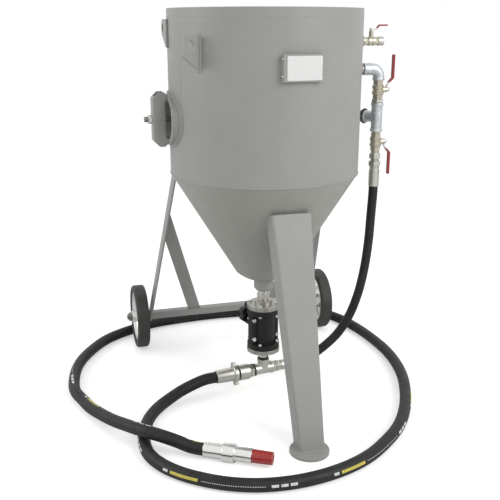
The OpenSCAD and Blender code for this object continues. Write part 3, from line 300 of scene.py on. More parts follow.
def cone_paint():
    """The same paint on the cone, with the faint flats left by the press brake; its colour is tinted warmer
    and a little darker as a painted reflection of the floor.
    """
    look, tone = painted("cone_paint", CONE_GREY, CONE_CLOUD)
    look.colour(tone)
    x, y = look.axes(look.place)
    share = look.math("FRACT", look.product(look.math("ARCTAN2", y, x), CONE_FLATS / (2 * math.pi)))
    turn = look.product(look.math("SUBTRACT", share, 0.5), 2 * math.pi / CONE_FLATS)
    look.bump(look.product(look.math("POWER", turn, 2.0), -FLAT_BOW), strength=0.8, distance=1.0)
    return look.material


# Metals
METAL_CLOUD = 0.6
# Gain of the painted highlight along metal edges
METAL_EDGE_HIGHLIGHT = 1.25
METAL_SWING = 0.05
ZINC_GREY = (0.62, 0.65, 0.67)
SPANGLE_DARK = (0.50, 0.53, 0.56)
SPANGLE_LIGHT = (0.72, 0.74, 0.76)
SPANGLE_SCALE = 160
IRON = (0.009, 0.009, 0.009)
# Colour of the painted highlight along the cast iron's edges
IRON_EDGE_HIGHLIGHT = (0.05, 0.05, 0.05)
COVER_BLACK = (0.018, 0.018, 0.018)
STUD_STEEL = (0.24, 0.24, 0.23)
PLATE_TONE = (0.74, 0.74, 0.73)
PLATE_DARK = (0.70, 0.70, 0.69)
PLATE_LIGHT = (0.80, 0.80, 0.79)
BRUSH_STRETCH = (0.4, 0.4, 26)


def plated(name, colour, shade, roughness):
    """Plated or turned metal: cloudy colour, fine scratches and a painted highlight along its edges."""
    look = Look(name, colour, roughness, metallic=1.0)
    tone = look.mix(look.product(look.cloud(scale=70, detail=4), METAL_CLOUD), colour, shade)
    # Lighter colour along the edges: painted highlight
    light = tuple(min(1.0, c * METAL_EDGE_HIGHLIGHT) for c in colour)
    look.colour(look.with_edge_highlight(tone, light, width=0.0012, share=0.7))
    look.gloss(scale=220, low=roughness - METAL_SWING, high=roughness + METAL_SWING)
    look.grain(scale=900, detail=2, strength=0.04, distance=0.0003)
    return look.material


def galvanised():
    """Hot-dip zinc, with its spangle and its slightly lumpy skin."""
    look = Look("galvanised", ZINC_GREY, roughness=0.42, metallic=0.85)
    grains = look.node("ShaderNodeTexVoronoi", {"Vector": look.place, "Scale": SPANGLE_SCALE})
    spangle = look.span(grains.outputs["Color"], low=0.2, high=0.9)
    look.colour(look.mix(spangle, SPANGLE_DARK, SPANGLE_LIGHT))
    look.gloss(scale=120, low=0.34, high=0.52)
    look.grain(scale=130, detail=3, strength=0.22, distance=0.0012)
    return look.material


def cast_black():
    look = Look("cast_black", IRON, roughness=0.46)
    look.set("Specular IOR Level", 0.34)
    # Lighter grey along the edges: painted highlight
    look.colour(look.with_edge_highlight(IRON, IRON_EDGE_HIGHLIGHT, width=0.002, share=0.5))
    look.grain(scale=500, detail=3, strength=0.3, distance=0.0006)
    look.grain(scale=60, detail=3, strength=0.15, distance=0.002)
    return look.material


def cover_and_stud():
    """Black inside cover, with the plain steel stud that stands out of the shell."""
    look = Look("cover_and_stud", COVER_BLACK, roughness=0.40)
    stud = look.math("LESS_THAN", look.axes(look.place)[0], STUD_FROM)
    look.colour(look.mix(stud, COVER_BLACK, STUD_STEEL))
    look.set("Metallic", stud)
    look.grain(scale=500, detail=3, strength=0.2, distance=0.0005)
    return look.material


def plate_face():
    """Bare pale data plate, with a brushed grain."""
    look = Look("plate_face", PLATE_TONE, roughness=0.36, metallic=0.15)
    brushed = look.noise(scale=60, at=look.stretched(*BRUSH_STRETCH))
    look.colour(look.mix(look.span(brushed, low=0.35, high=0.7), PLATE_DARK, PLATE_LIGHT))
    look.bump(brushed, strength=0.05, distance=0.0004)
    return look.material


# Rubber and plastics
RUBBER_WORN = 0.018
RUBBER_SWING = 0.08
VINYL_RED = (0.30, 0.022, 0.022)
VINYL_DARK = (0.27, 0.018, 0.018)
VINYL_LIGHT = (0.36, 0.03, 0.028)
JACKET_RED = (0.36, 0.018, 0.014)
JACKET_DARK = (0.33, 0.015, 0.012)
JACKET_LIGHT = (0.42, 0.025, 0.018)
# Colour of the painted highlight along the jacket's edges
JACKET_EDGE_HIGHLIGHT = (0.55, 0.07, 0.05)


def rubber(name, colour, roughness, grain_scale):
    look = Look(name, colour, roughness)
    worn = tuple(c + RUBBER_WORN for c in colour)
    look.colour(look.mix(look.cloud(scale=30, detail=4, low=0.45, high=0.75), colour, worn))
    look.gloss(scale=80, low=roughness - RUBBER_SWING, high=roughness + RUBBER_SWING)
    look.grain(grain_scale, detail=3, strength=0.18, distance=0.0006)
    return look.material


def red_vinyl():
    look = Look("red_vinyl", VINYL_RED, roughness=0.38)
    look.colour(look.mix(look.cloud(scale=90), VINYL_DARK, VINYL_LIGHT))
    look.grain(scale=260, detail=2, strength=0.14, distance=0.0006)
    return look.material


def red_jacket():
    look = Look("red_jacket", JACKET_RED, roughness=0.32)
    tone = look.mix(look.cloud(scale=120), JACKET_DARK, JACKET_LIGHT)
    # Lighter red along the edges: painted highlight
    look.colour(look.with_edge_highlight(tone, JACKET_EDGE_HIGHLIGHT, width=0.0015, share=0.6))
    look.set("Coat Weight", 0.4)
    look.grain(scale=300, detail=2, strength=0.08, distance=0.0005)
    return look.material


# Hose covers; a printed bar is given as its start, its end and half its width, in metres and in turns
HOSE_BLACK = (0.014, 0.014, 0.015)
HOSE_DUSTY = (0.024, 0.024, 0.024)
MARK_WHITE = (0.72, 0.72, 0.70)
MARK_YELLOW = (0.62, 0.55, 0.10)
MARK_PERIOD = 0.480
MARK_START = 0.645
MARK_LEAD = 0.1
YELLOW_BAR = (0.0, 0.085, 0.036)
WHITE_BARS = [(-0.024, -0.008, 0.032)] + [(start, start + 0.019, 0.032) for start in (0.280, 0.305, 0.330)]
STROKES = (0.095, 0.265, 0.009)
STROKE_PITCH = 0.0062
STROKE_GAP = 0.35
STROKE_SHADE = 0.8
WRAP_PITCH = 0.011


def with_print(look, tone, along, turn):
    """The tone of a cover with generic bars on it: a yellow one, white ones and a row of short strokes."""
    run = look.math("WRAP", look.math("SUBTRACT", along, MARK_START - MARK_LEAD), MARK_PERIOD)
    off = look.math("ABSOLUTE", turn)

    def bar(start, end, half):
        inside = look.product(look.math("GREATER_THAN", run, MARK_LEAD + start),
                              look.math("LESS_THAN", run, MARK_LEAD + end))
        return look.product(inside, look.math("LESS_THAN", off, half))

    stroke = look.math("GREATER_THAN", look.math("FRACT", look.product(run, 1 / STROKE_PITCH)), STROKE_GAP)
    white = look.product(look.product(stroke, bar(*STROKES)), STROKE_SHADE)
    for white_bar in WHITE_BARS:
        white = look.math("MAXIMUM", white, bar(*white_bar))
    worn = look.cloud(scale=380, low=0.30, high=0.44)
    tone = look.mix(look.product(bar(*YELLOW_BAR), worn), tone, MARK_YELLOW)
    return look.mix(look.product(white, worn), tone, MARK_WHITE)


def hose_cover(name, printed):
    """Wrapped rubber cover, plain or printed. The map's u is metres along the hose, its v turns round it."""
    look = Look(name, HOSE_BLACK, roughness=0.55)
    along, turn = look.axes(look.node("ShaderNodeUVMap", uv_map="along").outputs[0])
    tone = look.mix(look.cloud(scale=26, detail=4, low=0.45, high=0.75), HOSE_BLACK, HOSE_DUSTY)
    look.colour(with_print(look, tone, along, turn) if printed else tone)
    look.set("Specular IOR Level", 0.32)
    look.gloss(scale=60, low=0.42, high=0.58)
    wrap = look.math("ADD", look.product(along, 2 * math.pi / WRAP_PITCH), look.product(turn, 2 * math.pi))
    look.bump(look.math("SINE", wrap), strength=0.10, distance=0.0005)
    look.grain(scale=700, detail=2, strength=0.15, distance=0.0004)
    return look.material


PAINT = grey_paint()
CONE = cone_paint()
ZINC = plated("zinc", (0.59, 0.585, 0.54), (0.50, 0.495, 0.45), roughness=0.36)
ALUMINIUM = plated("aluminium", (0.80, 0.80, 0.78), (0.72, 0.72, 0.70), roughness=0.24)
NICKEL = plated("nickel_brass", (0.60, 0.565, 0.46), (0.50, 0.46, 0.36), roughness=0.26)
STEEL = plated("bright_steel", (0.68, 0.68, 0.66), (0.60, 0.60, 0.58), roughness=0.22)
FLANGE = plated("flange_steel", (0.42, 0.415, 0.38), (0.36, 0.355, 0.32), roughness=0.38)
RIM = plated("rim_silver", (0.90, 0.90, 0.89), (0.84, 0.84, 0.83), roughness=0.30)
AXLE = plated("axle_steel", (0.26, 0.26, 0.25), (0.20, 0.20, 0.19), roughness=0.36)
GALVANISED = galvanised()
SEAL = rubber("seal_rubber", (0.016, 0.016, 0.016), roughness=0.5, grain_scale=500)
TYRE = rubber("tyre_rubber", (0.036, 0.036, 0.033), roughness=0.6, grain_scale=420)
BLACK = cast_black()
COVER = cover_and_stud()
KNOB = rubber("knob_plastic", (0.004, 0.004, 0.004), roughness=0.50, grain_scale=800)
VINYL = red_vinyl()
JACKET = red_jacket()
PRINTED_HOSE = hose_cover("printed_hose", printed=True)
PLAIN_HOSE = hose_cover("plain_hose", printed=False)
PLATE = plate_face()


# Hoses: the same points as in the solids, in metres
LINE_DIR = Vector((math.cos(LINE_TURN), math.sin(LINE_TURN), 0))
NOZZLE_DIR = Vector((math.cos(NOZZLE_TURN), math.sin(NOZZLE_TURN), 0))
COUPLING_END, TEE_END = -0.177, 0.122
AIR_TAIL_Z = 0.6797
BLAST_START = LINE_DIR * COUPLING_END + UP * BLAST_Z
BLAST_END = Vector((-0.304, -0.418, 0.027))
BLAST_ROUTE = [
    (-0.215, -0.030, 0.051), (-0.255, -0.038, 0.043), (-0.295, -0.051, 0.034), (-0.340, -0.079, 0.026),
    (-0.388, -0.122, 0.021), (-0.420, -0.168, 0.020), (-0.440, -0.212, 0.020), (-0.455, -0.265, 0.020),
    (-0.464, -0.323, 0.020), (-0.460, -0.390, 0.020), (-0.436, -0.450, 0.020), (-0.395, -0.505, 0.020),
    (-0.340, -0.553, 0.020), (-0.270, -0.596, 0.020), (-0.190, -0.624, 0.020), (-0.105, -0.634, 0.020),
    (-0.020, -0.628, 0.020), (0.062, -0.608, 0.020), (0.140, -0.574, 0.020), (0.220, -0.518, 0.020),
    (0.299, -0.445, 0.020), (0.372, -0.345, 0.020), (0.433, -0.229, 0.020), (0.475, -0.122, 0.020),
    (0.500, -0.020, 0.020), (0.512, 0.085, 0.020), (0.510, 0.190, 0.020), (0.495, 0.320, 0.020),
    (0.472, 0.415, 0.020), (0.440, 0.483, 0.020), (0.388, 0.544, 0.020), (0.305, 0.580, 0.020),
    (0.200, 0.605, 0.020), (0.083, 0.617, 0.020), (-0.045, 0.622, 0.020), (-0.170, 0.614, 0.020),
    (-0.290, 0.594, 0.020), (-0.401, 0.545, 0.020), (-0.490, 0.483, 0.020), (-0.558, 0.394, 0.020),
    (-0.612, 0.285, 0.020), (-0.637, 0.170, 0.020), (-0.639, 0.060, 0.020), (-0.620, -0.004, 0.020),
    (-0.602, -0.062, 0.022), (-0.575, -0.125, 0.028), (-0.545, -0.190, 0.037), (-0.507, -0.262, 0.051),
    (-0.466, -0.322, 0.060), (-0.420, -0.360, 0.057), (-0.378, -0.382, 0.045), (-0.340, -0.398, 0.030),
]
AIR_START = Vector((STACK_X, 0, AIR_TAIL_Z))
AIR_END = LINE_DIR * TEE_END + UP * BLAST_Z
AIR_ROUTE = [
    (0.384, 0.000, 0.579), (0.379, 0.000, 0.479), (0.368, 0.000, 0.385), (0.347, 0.000, 0.290),
    (0.317, 0.008, 0.203), (0.281, 0.018, 0.140), (0.237, 0.0255, 0.096), (0.196, 0.027, 0.068),
    (0.1515, 0.0213, 0.052),
]

HOSE_SIDES = 28
HOSE_STEP = 0.010
BLAST_HOSE_R = 0.019
AIR_HOSE_R = 0.0155
AIR_HOSE_TURN = math.radians(150)


def hose(name, material, points, first, last, radius, turn_at, side_hint):
    """A hose as a smooth tube, mapped by its length and by its turn from the printed line."""
    path = smooth_path(points, first, last, HOSE_STEP)
    aims = path_directions(path, first, last)
    marks = lengths_along(path)
    verts = []
    for point, aim, mark in zip(path, aims, marks):
        across = aim.cross(side_hint).normalized()
        above = across.cross(aim)
        for k in range(HOSE_SIDES):
            a = turn_at(mark) + 2 * math.pi * k / HOSE_SIDES
            verts.append(point + (above * math.cos(a) + across * math.sin(a)) * radius)
    piece = new_piece(name, verts, ring_faces(len(path), HOSE_SIDES, False), material)
    map_along(piece, marks)
    return piece


def map_along(piece, marks):
    """Maps a tube by the metres along it and by the turn round it, which is 0 on the printed line."""
    layer = piece.data.uv_layers.new(name="along")
    for polygon in piece.data.polygons:
        corners = [(i, *divmod(piece.data.loops[i].vertex_index, HOSE_SIDES)) for i in polygon.loop_indices]
        steps = [k for _, _, k in corners]
        wraps = 0 in steps and HOSE_SIDES - 1 in steps
        for i, ring, k in corners:
            turn = 1.0 if wraps and k == 0 else k / HOSE_SIDES
            layer.data[i].uv = (marks[ring], turn - 1.0 if wraps or turn > 0.5 else turn)


# The blast hose's printed line lies on the loop's outer side and comes round to the top near the crossing
PRINT_TURN = 72
PRINT_SWING = 92
SWING_FROM = 3.55
SWING_RUN = 0.45


def blast_turn(mark):
    """Turn of the printed line at a length along the hose; the values above are in degrees and metres."""
    share = min(1.0, max(0.0, (mark - SWING_FROM) / SWING_RUN))
    return math.radians(PRINT_TURN - PRINT_SWING * share)


blast_hose = hose("blast_hose_tube", PRINTED_HOSE, [BLAST_START, *BLAST_ROUTE, BLAST_END], -LINE_DIR,
                  NOZZLE_DIR, BLAST_HOSE_R, blast_turn, UP)
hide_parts("blast_hose")
air_hose = hose("air_hose_tube", PLAIN_HOSE, [AIR_START, *AIR_ROUTE, AIR_END], -UP, -LINE_DIR, AIR_HOSE_R,
                lambda mark: AIR_HOSE_TURN, Vector((0, 1, 0)))
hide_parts("air_hose")


# Finish of the solids that stay, by node, with the width of their broken edges in metres
FINISH = {
    "tank_shell": (PAINT, 0.0012), "tank_cone": (CONE, 0.0), "top_head": (PAINT, 0.0015),
    "shell_sockets": (PAINT, 0.001), "hatch_ring": (PAINT, 0.0015), "hatch_bridge": (PAINT, 0.0015),
    "lifting_lugs": (PAINT, 0.0012), "plate_bracket": (PAINT, 0.0008), "front_leg": (PAINT, 0.0008),
    "front_foot": (PAINT, 0.0012), "rear_leg_left": (PAINT, 0.0010), "rear_leg_right": (PAINT, 0.0010),
    "rear_braces": (PAINT, 0.0010), "axle_beam": (PAINT, 0.0025), "outlet_socket": (PAINT, 0.0010),
    "fill_seat": (SEAL, 0.002), "popup_plug": (SEAL, 0.002), "hatch_gasket": (SEAL, 0.001),
    "joint_seals": (SEAL, 0.0012), "popup_air_pipe": (GALVANISED, 0.0),
    "axle_bolts": (AXLE, 0.0012), "hatch_nut": (STEEL, 0.0010),
    "pipe_nipples": (ZINC, 0.0008), "inlet_coupling": (ZINC, 0.0010), "air_hose_fittings": (ZINC, 0.0008),
    "pinch_top_flange": (FLANGE, 0.0012), "pinch_bottom_flange": (FLANGE, 0.0012),
    "pinch_bolts": (STEEL, 0.0008), "pinch_spindle": (STEEL, 0.0008), "mixing_tee": (ZINC, 0.0015),
    "tank_coupling": (ZINC, 0.0015), "hose_coupling": (ZINC, 0.0015), "nozzle_holder": (ALUMINIUM, 0.0012),
    "air_elbow": (GALVANISED, 0.0012), "air_tee": (GALVANISED, 0.0012), "hatch_cover": (COVER, 0.0015),
    "pinch_body_front": (BLACK, 0.0015), "pinch_body_rear": (BLACK, 0.0015), "pinch_bar": (BLACK, 0.0010),
    "pinch_handwheel": (KNOB, 0.0030), "left_tyre": (TYRE, 0.0), "right_tyre": (TYRE, 0.0),
    "left_rim": (RIM, 0.0015), "right_rim": (RIM, 0.0015), "blast_nozzle": (JACKET, 0.0012),
}
for valve in ("tank_valve", "blast_valve", "vent_valve"):
    FINISH[valve + "_body"] = (NICKEL, 0.0012)
    FINISH[valve + "_ball"] = (STEEL, 0.0)
    FINISH[valve + "_lever"] = (STEEL, 0.0006)
    FINISH[valve + "_grip"] = (VINYL, 0.0020)

JOIN_GAP = 0.00002
EDGE_ANGLE = math.radians(38)
EDGE_SEGMENTS = 2
FLAT_WEIGHT = 60


def dress(name, material, edge):
    """Gives a solid its material and breaks its sharp edges."""
    node = nodes[name]
    node.data.materials.clear()
    node.data.materials.append(material)
    join = node.modifiers.new("join", "WELD")
    join.merge_threshold = JOIN_GAP
    if edge:
        bevel = node.modifiers.new("edges", "BEVEL")
        bevel.width = edge
        bevel.segments = EDGE_SEGMENTS
        bevel.limit_method = "ANGLE"
        bevel.angle_limit = EDGE_ANGLE
    shading = node.modifiers.new("shading", "WEIGHTED_NORMAL")
    shading.weight = FLAT_WEIGHT


for name, (material, edge) in FINISH.items():
    dress(name, material, edge)


# Weld beads, found along the sharp edges where a solid meets a surface, within these distances of it
ON_SHELL = 0.0008
ON_CONE = 0.0012
ON_LEG = 0.0008
ON_LEVEL = 0.0004
SEAM_ANGLE = 0.4


def on_vessel(point):
    radius = math.hypot(point.x, point.y)
    if point.z > JOINT_Z:
        return abs(radius - TANK_R) < ON_SHELL
    return abs(radius - TANK_R + (JOINT_Z - point.z) * CONE_SLOPE) < ON_CONE


def on_leg(point):
    """On the inner face of either rear leg."""
    return abs(LEG_FACE - (point.z - WHEEL_R) * LEG_LEAN - abs(point.x)) < ON_LEG


def on_level(z):
    return lambda point: abs(point.z - z) < ON_LEVEL


def away_from_axis(point):
    return Vector((point.x, point.y, 0)).normalized()


def away_from_vessel(point):
    out = away_from_axis(point)
    return out if point.z > JOINT_Z else (out - UP * CONE_SLOPE).normalized()


def away_from_leg(point):
    return Vector((-1 if point.x > 0 else 1, 0, 0))


def upwards(point):
    return UP


def seam_loops(name, on_surface):
    """Closed runs of sharp edges of a solid whose ends all lie on a surface."""
    work = bmesh.new()
    work.from_mesh(nodes[name].data)
    bmesh.ops.remove_doubles(work, verts=work.verts, dist=JOIN_GAP)
    picked = set()
    for edge in work.edges:
        if len(edge.link_faces) == 2 and edge.calc_face_angle() > SEAM_ANGLE:
            if all(on_surface(v.co) for v in edge.verts):
                picked.add(edge)
    loops = []
    while picked:
        edge = min(picked, key=lambda e: e.index)
        picked.remove(edge)
        run = [edge.verts[0], edge.verts[1]]
        while True:
            steps = [e for e in run[-1].link_edges if e in picked]
            if not steps:
                break
            picked.remove(steps[0])
            run.append(steps[0].other_vert(run[-1]))
        if run[0] == run[-1]:
            loops.append([v.co.copy() for v in run[:-1]])
    work.free()
    return loops


LEAST_STEPS = 8
ROUNDINGS = 2


def evenly(points, step):
    """A closed run of points about step apart, with its corners rounded off."""
    closed = [*points, points[0]]
    marks = lengths_along(closed)
    count = max(LEAST_STEPS, round(marks[-1] / step))
    even = []
    i = 0
    for n in range(count):
        mark = marks[-1] * n / count
        while marks[i + 1] < mark:
            i += 1
        share = (mark - marks[i]) / (marks[i + 1] - marks[i])
        even.append(closed[i].lerp(closed[i + 1], share))
    for _ in range(ROUNDINGS):
        even = [(even[i - 1] + even[i] * 2 + even[(i + 1) % count]) / 4 for i in range(count)]
    return even


BEAD_STEP = 0.0022
BEAD_SIDES = 8
BEAD_WIDE, BEAD_HIGH = 1.15, 0.8
SHORT_RIPPLE, SHORT_TURN = 0.13, 2.1
SLOW_RIPPLE, SLOW_TURN = 0.07, 0.37


def ripple(i, phase):
    """The swell of a hand-laid bead at one of its steps: short ripples on a slow one."""
    return 1 + SHORT_RIPPLE * math.sin(i * SHORT_TURN) + SLOW_RIPPLE * math.sin(i * SLOW_TURN + phase)


def bead(name, points, normal_at, radius):
    """A weld bead along a closed run: a low rippled ridge."""
    run = evenly(points, BEAD_STEP)
    count = len(run)
    verts = []
    for i, point in enumerate(run):
        aim = (run[(i + 1) % count] - run[i - 1]).normalized()
        across = aim.cross(normal_at(point)).normalized()
        above = across.cross(aim)
        swell = ripple(i, len(name))
        for k in range(BEAD_SIDES):
            a = 2 * math.pi * k / BEAD_SIDES
            spoke = across * math.cos(a) * BEAD_WIDE + above * math.sin(a) * BEAD_HIGH
            verts.append(point + spoke * radius * swell)
    piece = new_piece(name, verts, ring_faces(count, BEAD_SIDES, True), PAINT)


def weld(label, node, on_surface, normal_at, radius):
    for i, loop in enumerate(seam_loops(node, on_surface)):
        bead(f"weld_{label}_{i}", loop, normal_at, radius)


def circle_run(radius, z, count=240):
    turns = [2 * math.pi * i / count for i in range(count)]
    return [Vector((radius * math.cos(a), radius * math.sin(a), z)) for a in turns]


# Bead radii on the vessel by node, then of the round seams, the foot, and the braces and beam at the rear
VESSEL_BEADS = {
    "lifting_lugs": 0.0048, "plate_bracket": 0.0018, "front_leg": 0.0036, "rear_leg_left": 0.0034,
    "rear_leg_right": 0.0034, "hatch_ring": 0.0034, "shell_sockets": 0.0030,
}
JOINT_BEAD, JOINT_SUNK = 0.0026, 0.0008
HEAD_BEAD, HEAD_SUNK, HEAD_DROP = 0.0022, 0.0012, 0.025
OUTLET_BEAD = 0.0026
FOOT_BEAD = 0.0034
LEG_BEAD = 0.0026
for name, radius in VESSEL_BEADS.items():
    weld(name, name, on_vessel, away_from_vessel, radius)
bead("weld_shell_to_cone", circle_run(TANK_R - JOINT_SUNK, JOINT_Z), away_from_vessel, JOINT_BEAD)
bead("weld_shell_to_head", circle_run(TANK_R - HEAD_SUNK, RIM_Z - HEAD_DROP), away_from_vessel, HEAD_BEAD)
bead("weld_outlet", circle_run(OUTLET_R, OUTLET_Z, count=60), away_from_axis, OUTLET_BEAD)
weld("foot", "front_leg", on_level(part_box("front_foot")[1].z), upwards, FOOT_BEAD)
for name in ("rear_braces", "axle_beam"):
    weld(name, name, on_leg, away_from_leg, LEG_BEAD)
weld("brace_foot", "rear_braces", on_level(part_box("axle_beam")[1].z), upwards, LEG_BEAD)


# Helpers for turned pieces, round heads and threads
SPLIT_ANGLE = math.radians(32)
DOME_SUNK = 0.0006
DOME_STEPS = 6
DOME_TIP = 0.02
THREAD_STEPS = 20
THREAD_FORM = ((-0.45, -0.3), (-0.12, 0.275), (0.12, 0.275), (0.45, -0.3))


def frame_along(aim):
    aim = Vector(aim).normalized()
    side = aim.orthogonal().normalized()
    return aim, side, aim.cross(side)


def turned(name, profile, start, aim, material, body="frame", sides=48, hollow=False):
    """A turned piece: (distance along, radius) pairs spun round an axis; a hollow one joins last to first."""
    aim, side, other = frame_along(aim)
    verts = []
    for along, radius in profile:
        for k in range(sides):
            a = 2 * math.pi * k / sides
            verts.append(Vector(start) + aim * along + (side * math.cos(a) + other * math.sin(a)) * radius)
    piece = new_piece(name, verts, ring_faces(len(profile), sides, hollow), material, body)
    sharp = piece.modifiers.new("shading", "EDGE_SPLIT")
    sharp.split_angle = SPLIT_ANGLE
    return piece


def dome(name, at, out, radius, height, material, body="frame", sides=16):
    """A low round head that stands on a surface, with a sunk foot."""
    profile = [(-DOME_SUNK, radius), (0.0, radius)]
    for i in range(1, DOME_STEPS):
        a = math.radians(90 / DOME_STEPS * i)
        profile.append((height * math.sin(a), radius * math.cos(a)))
    profile.append((height, radius * DOME_TIP))
    return turned(name, profile, at, out, material, body, sides)


def thread(name, start, aim, length, radius, pitch, material):
    """A ridge wound round a core; its section is given in pitches along the core and out of it."""
    aim, side, other = frame_along(aim)
    count = round(length / pitch * THREAD_STEPS) + 1
    verts = []
    for i in range(count):
        a = 2 * math.pi * i / THREAD_STEPS
        out = side * math.cos(a) + other * math.sin(a)
        low = Vector(start) + aim * (pitch * i / THREAD_STEPS)
        for shift, lift in THREAD_FORM:
            verts.append(low + aim * (shift * pitch) + out * (radius + lift * pitch))
    return new_piece(name, verts, ring_faces(count, len(THREAD_FORM), False), material, smooth=False)


# Bare data plate on its bracket, held by four rivets, with two more heads on the bracket's left return
PLATE_TURN = math.radians(-3.2)
PLATE_OUT = Vector((-math.sin(PLATE_TURN), -math.cos(PLATE_TURN), 0))
PLATE_SIDE = Vector((-PLATE_OUT.y, PLATE_OUT.x, 0))
BRACKET_OUT, BRACKET_DROP, PLATE_SHIFT = 0.012, 0.161, 0.0030
BRACKET_MID = PLATE_OUT * (TANK_R + BRACKET_OUT) + UP * (RIM_Z - BRACKET_DROP)
PLATE_MID = BRACKET_MID + PLATE_SIDE * PLATE_SHIFT
PLATE_W, PLATE_H, PLATE_T = 0.104, 0.066, 0.0014
PLATE_SUNK = 0.0004
PLATE_CORNER = 0.003
CORNER_STEPS = 5
RIVET_X, RIVET_Z, RIVET_OUT = 0.047, 0.0285, 0.0009
RIVET_R, RIVET_H = 0.0022, 0.0012
BOLT_HEADS_Z = (0.024, -0.022)
BOLT_HEAD_SIDE, BOLT_HEAD_BACK = 0.0590, 0.0060
BOLT_HEAD = [(-0.0015, 0.0042), (0.0040, 0.0042), (0.0052, 0.0034), (0.0056, 0.0004)]

# The plate's eased front edge, as shares of its thickness, width and height
EASED_FROM, EASED_W, EASED_H = 0.7, 0.996, 0.994


def plate_outline():
    """The plate's outline with round corners, as (across, up) pairs from its middle."""
    outline = []
    for x, z, first in ((1, 1, 0), (-1, 1, 90), (-1, -1, 180), (1, -1, 270)):
        for i in range(CORNER_STEPS + 1):
            a = math.radians(first + 90 / CORNER_STEPS * i)
            outline.append((x * (PLATE_W / 2 - PLATE_CORNER) + PLATE_CORNER * math.cos(a),
                            z * (PLATE_H / 2 - PLATE_CORNER) + PLATE_CORNER * math.sin(a)))
    return outline


def make_plate():
    """The flat plate, with its front edge eased."""
    outline = plate_outline()
    back = PLATE_MID - PLATE_OUT * PLATE_SUNK
    verts = []
    for wide, high, out in ((1, 1, 0), (1, 1, PLATE_T * EASED_FROM), (EASED_W, EASED_H, PLATE_T)):
        verts += [back + PLATE_SIDE * (x * wide) + UP * (z * high) + PLATE_OUT * out for x, z in outline]
    new_piece("data_plate", verts, ring_faces(3, len(outline), False), PLATE, smooth=False)


make_plate()
for i, (x, z) in enumerate((x, z) for z in (RIVET_Z, -RIVET_Z) for x in (-RIVET_X, RIVET_X)):
    at = PLATE_MID + PLATE_SIDE * x + UP * z + PLATE_OUT * RIVET_OUT
    dome(f"plate_rivet_{i}", at, PLATE_OUT, RIVET_R, RIVET_H, ALUMINIUM)
for i, z in enumerate(BOLT_HEADS_Z):
    at = BRACKET_MID - PLATE_SIDE * BOLT_HEAD_SIDE - PLATE_OUT * BOLT_HEAD_BACK + UP * z
    turned(f"bracket_head_{i}", BOLT_HEAD, at, -PLATE_SIDE, FLANGE, sides=24)

# Threads in sight: hatch stud, axle ends, and the nipples between the fittings
NIPPLE_X = 0.3250
HOSE_THREADS_Z = (0.7985, 0.7727)
STUD_THREAD_X = -0.3705
AXLE_THREAD_X = 0.4095
NIPPLE_THREADS = (
    ("elbow_thread", (NIPPLE_X, 0, ELBOW_Z), (1, 0, 0), 0.006),
    ("vent_thread", (NIPPLE_X, 0, VENT_Z), (1, 0, 0), 0.007),
    ("hose_thread_top", (STACK_X, 0, HOSE_THREADS_Z[0]), (0, 0, -1), 0.0068),
    ("hose_thread_low", (STACK_X, 0, HOSE_THREADS_Z[1]), (0, 0, -1), 0.0068),
)
thread("stud_thread", (STUD_THREAD_X, 0, HATCH_Z), (-1, 0, 0), length=0.009, radius=0.0080, pitch=0.0020,
       material=AXLE)
for side in (-1, 1):
    thread(f"axle_thread_{side}", (side * AXLE_THREAD_X, WHEEL_Y, WHEEL_R), (side, 0, 0), length=0.0045,
           radius=0.0100, pitch=0.0015, material=AXLE)
for name, start, aim, length in NIPPLE_THREADS:
    thread(name, start, aim, length, radius=0.0130, pitch=0.0018, material=ZINC)

# Wheels: pressed rings and dimples in the discs and ribs on the tyres, measured from the hub's middle
RIM_RING = [(0.0035, 0.0735), (0.0062, 0.0755), (0.0066, 0.0785), (0.0035, 0.0805)]
HUB_COLLAR = [(0.0035, 0.0220), (0.0035, 0.0300), (0.0075, 0.0285), (0.0100, 0.0225)]
TYRE_RIB = [(0.0195, 0.1045), (0.0231, 0.1055), (0.0231, 0.1075), (0.0195, 0.1085)]
DIMPLES = 5
DIMPLE_OUT, DIMPLE_RING_R, DIMPLE_TURN = 0.0040, 0.051, 0.3
DIMPLE_R, DIMPLE_H = 0.0125, 0.0030


def wheel_face(tag, hub, face, body):
    """Pressings and rib on one face of a wheel; face is the sign of its outward X."""
    out = Vector((face, 0, 0))
    turned("rim_ring_" + tag, RIM_RING, hub, out, RIM, body, sides=96, hollow=True)
    turned("hub_collar_" + tag, HUB_COLLAR, hub, out, RIM, body, sides=64, hollow=True)
    for i in range(DIMPLES):
        a = 2 * math.pi * i / DIMPLES + DIMPLE_TURN
        at = hub + Vector((face * DIMPLE_OUT, DIMPLE_RING_R * math.cos(a), DIMPLE_RING_R * math.sin(a)))
        dome(f"rim_dimple_{tag}_{i}", at, out, DIMPLE_R, DIMPLE_H, RIM, body, sides=28)
    turned("tyre_rib_" + tag, TYRE_RIB, hub, out, TYRE, body, sides=96, hollow=True)


for word, side in (("left", -1), ("right", 1)):
    for face in (-1, 1):
        tag = f"{word}_{'out' if face == side else 'in'}"
        wheel_face(tag, Vector((side * WHEEL_X, WHEEL_Y, WHEEL_R)), face, word + "_wheel")

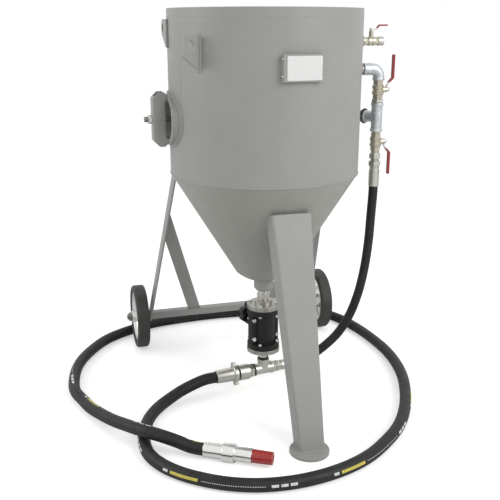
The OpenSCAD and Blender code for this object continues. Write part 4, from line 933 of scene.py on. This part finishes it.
# Rubber sleeve inside the pinch valve, which the bar presses in as the handwheel is screwed in; drawn as a
# fixed tube with cuffs and a slightly narrower waist
SLEEVE_R = 0.0225
SLEEVE_BORE_R = 0.0125
SLEEVE_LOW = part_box("pinch_sleeve")[0].z
SLEEVE_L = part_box("pinch_sleeve")[1].z - SLEEVE_LOW
CUFF_L, WAIST_FROM, WAIST_SUNK = 0.012, 0.014, 0.0006
cuff = [(0.0, SLEEVE_BORE_R), (0.0, SLEEVE_R), (CUFF_L, SLEEVE_R), (WAIST_FROM, SLEEVE_R - WAIST_SUNK)]
cuff += [(SLEEVE_L - along, radius) for along, radius in reversed(cuff)]
sleeve = turned("sleeve_tube", cuff, UP * SLEEVE_LOW, UP, SEAL, hollow=True)
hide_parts("pinch_sleeve")
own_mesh(sleeve)

# Stage and light: the floor is lifted to white where the camera sees it, and keeps the shadow
FLOOR_HALF = 40.0
FLOOR_TONE = (0.86, 0.86, 0.86)
FLOOR_DARK = (0.85, 0.85, 0.85)
FLOOR_LIGHT = (0.87, 0.87, 0.87)
FLOOR_LIFT = 0.46
WHITE = (1, 1, 1, 1)
SKY_ON_MATT = 0.60
SKY_SEEN = 1.0
LAMP_AIM = Vector((0, 0, 0.6))

# Lamps: name, place, watts and size
LAMPS = (
    ("key", (2.2, -3.2, 2.8), 82, 2.2),
    ("fill", (-3.2, 0.4, 1.9), 30, 1.8),
)


def make_stage():
    half = FLOOR_HALF
    verts = [(-half, -half, 0), (half, -half, 0), (half, half, 0), (-half, half, 0)]
    mesh = bpy.data.meshes.new("floor")
    mesh.from_pydata(verts, [], [(0, 1, 2, 3)])
    floor = bpy.data.objects.new("floor", mesh)
    bpy.context.scene.collection.objects.link(floor)
    look = Look("floor", FLOOR_TONE, roughness=0.9)
    look.colour(look.mix(look.cloud(scale=3, detail=2, low=0.3, high=0.7), FLOOR_DARK, FLOOR_LIGHT))
    seen = look.node("ShaderNodeLightPath").outputs["Is Camera Ray"]
    look.set("Emission Color", WHITE)
    look.set("Emission Strength", look.product(seen, FLOOR_LIFT))
    mesh.materials.append(look.material)


def make_sky(scene):
    """A white sky, dimmer for the light it throws on matt surfaces than where it is seen or mirrored."""
    scene.world = bpy.data.worlds.new("studio")
    scene.world.use_nodes = True
    tree = scene.world.node_tree
    back = tree.nodes["Background"]
    back.inputs["Color"].default_value = WHITE
    rays = tree.nodes.new("ShaderNodeLightPath")
    seen = tree.nodes.new("ShaderNodeMath")
    seen.operation = "MAXIMUM"
    level = tree.nodes.new("ShaderNodeMapRange")
    level.inputs["To Min"].default_value = SKY_ON_MATT
    level.inputs["To Max"].default_value = SKY_SEEN
    tree.links.new(rays.outputs["Is Camera Ray"], seen.inputs[0])
    tree.links.new(rays.outputs["Is Glossy Ray"], seen.inputs[1])
    tree.links.new(seen.outputs[0], level.inputs["Value"])
    tree.links.new(level.outputs[0], back.inputs["Strength"])


def make_lamps(scene):
    for name, at, power, size in LAMPS:
        lamp = bpy.data.lights.new(name, "AREA")
        lamp.energy = power
        lamp.size = size
        holder = bpy.data.objects.new(name, lamp)
        holder.location = at
        holder.rotation_euler = (LAMP_AIM - Vector(at)).to_track_quat("-Z", "Y").to_euler()
        scene.collection.objects.link(holder)


bpy.context.scene.view_settings.view_transform = "Standard"
make_stage()
make_sky(bpy.context.scene)
make_lamps(bpy.context.scene)
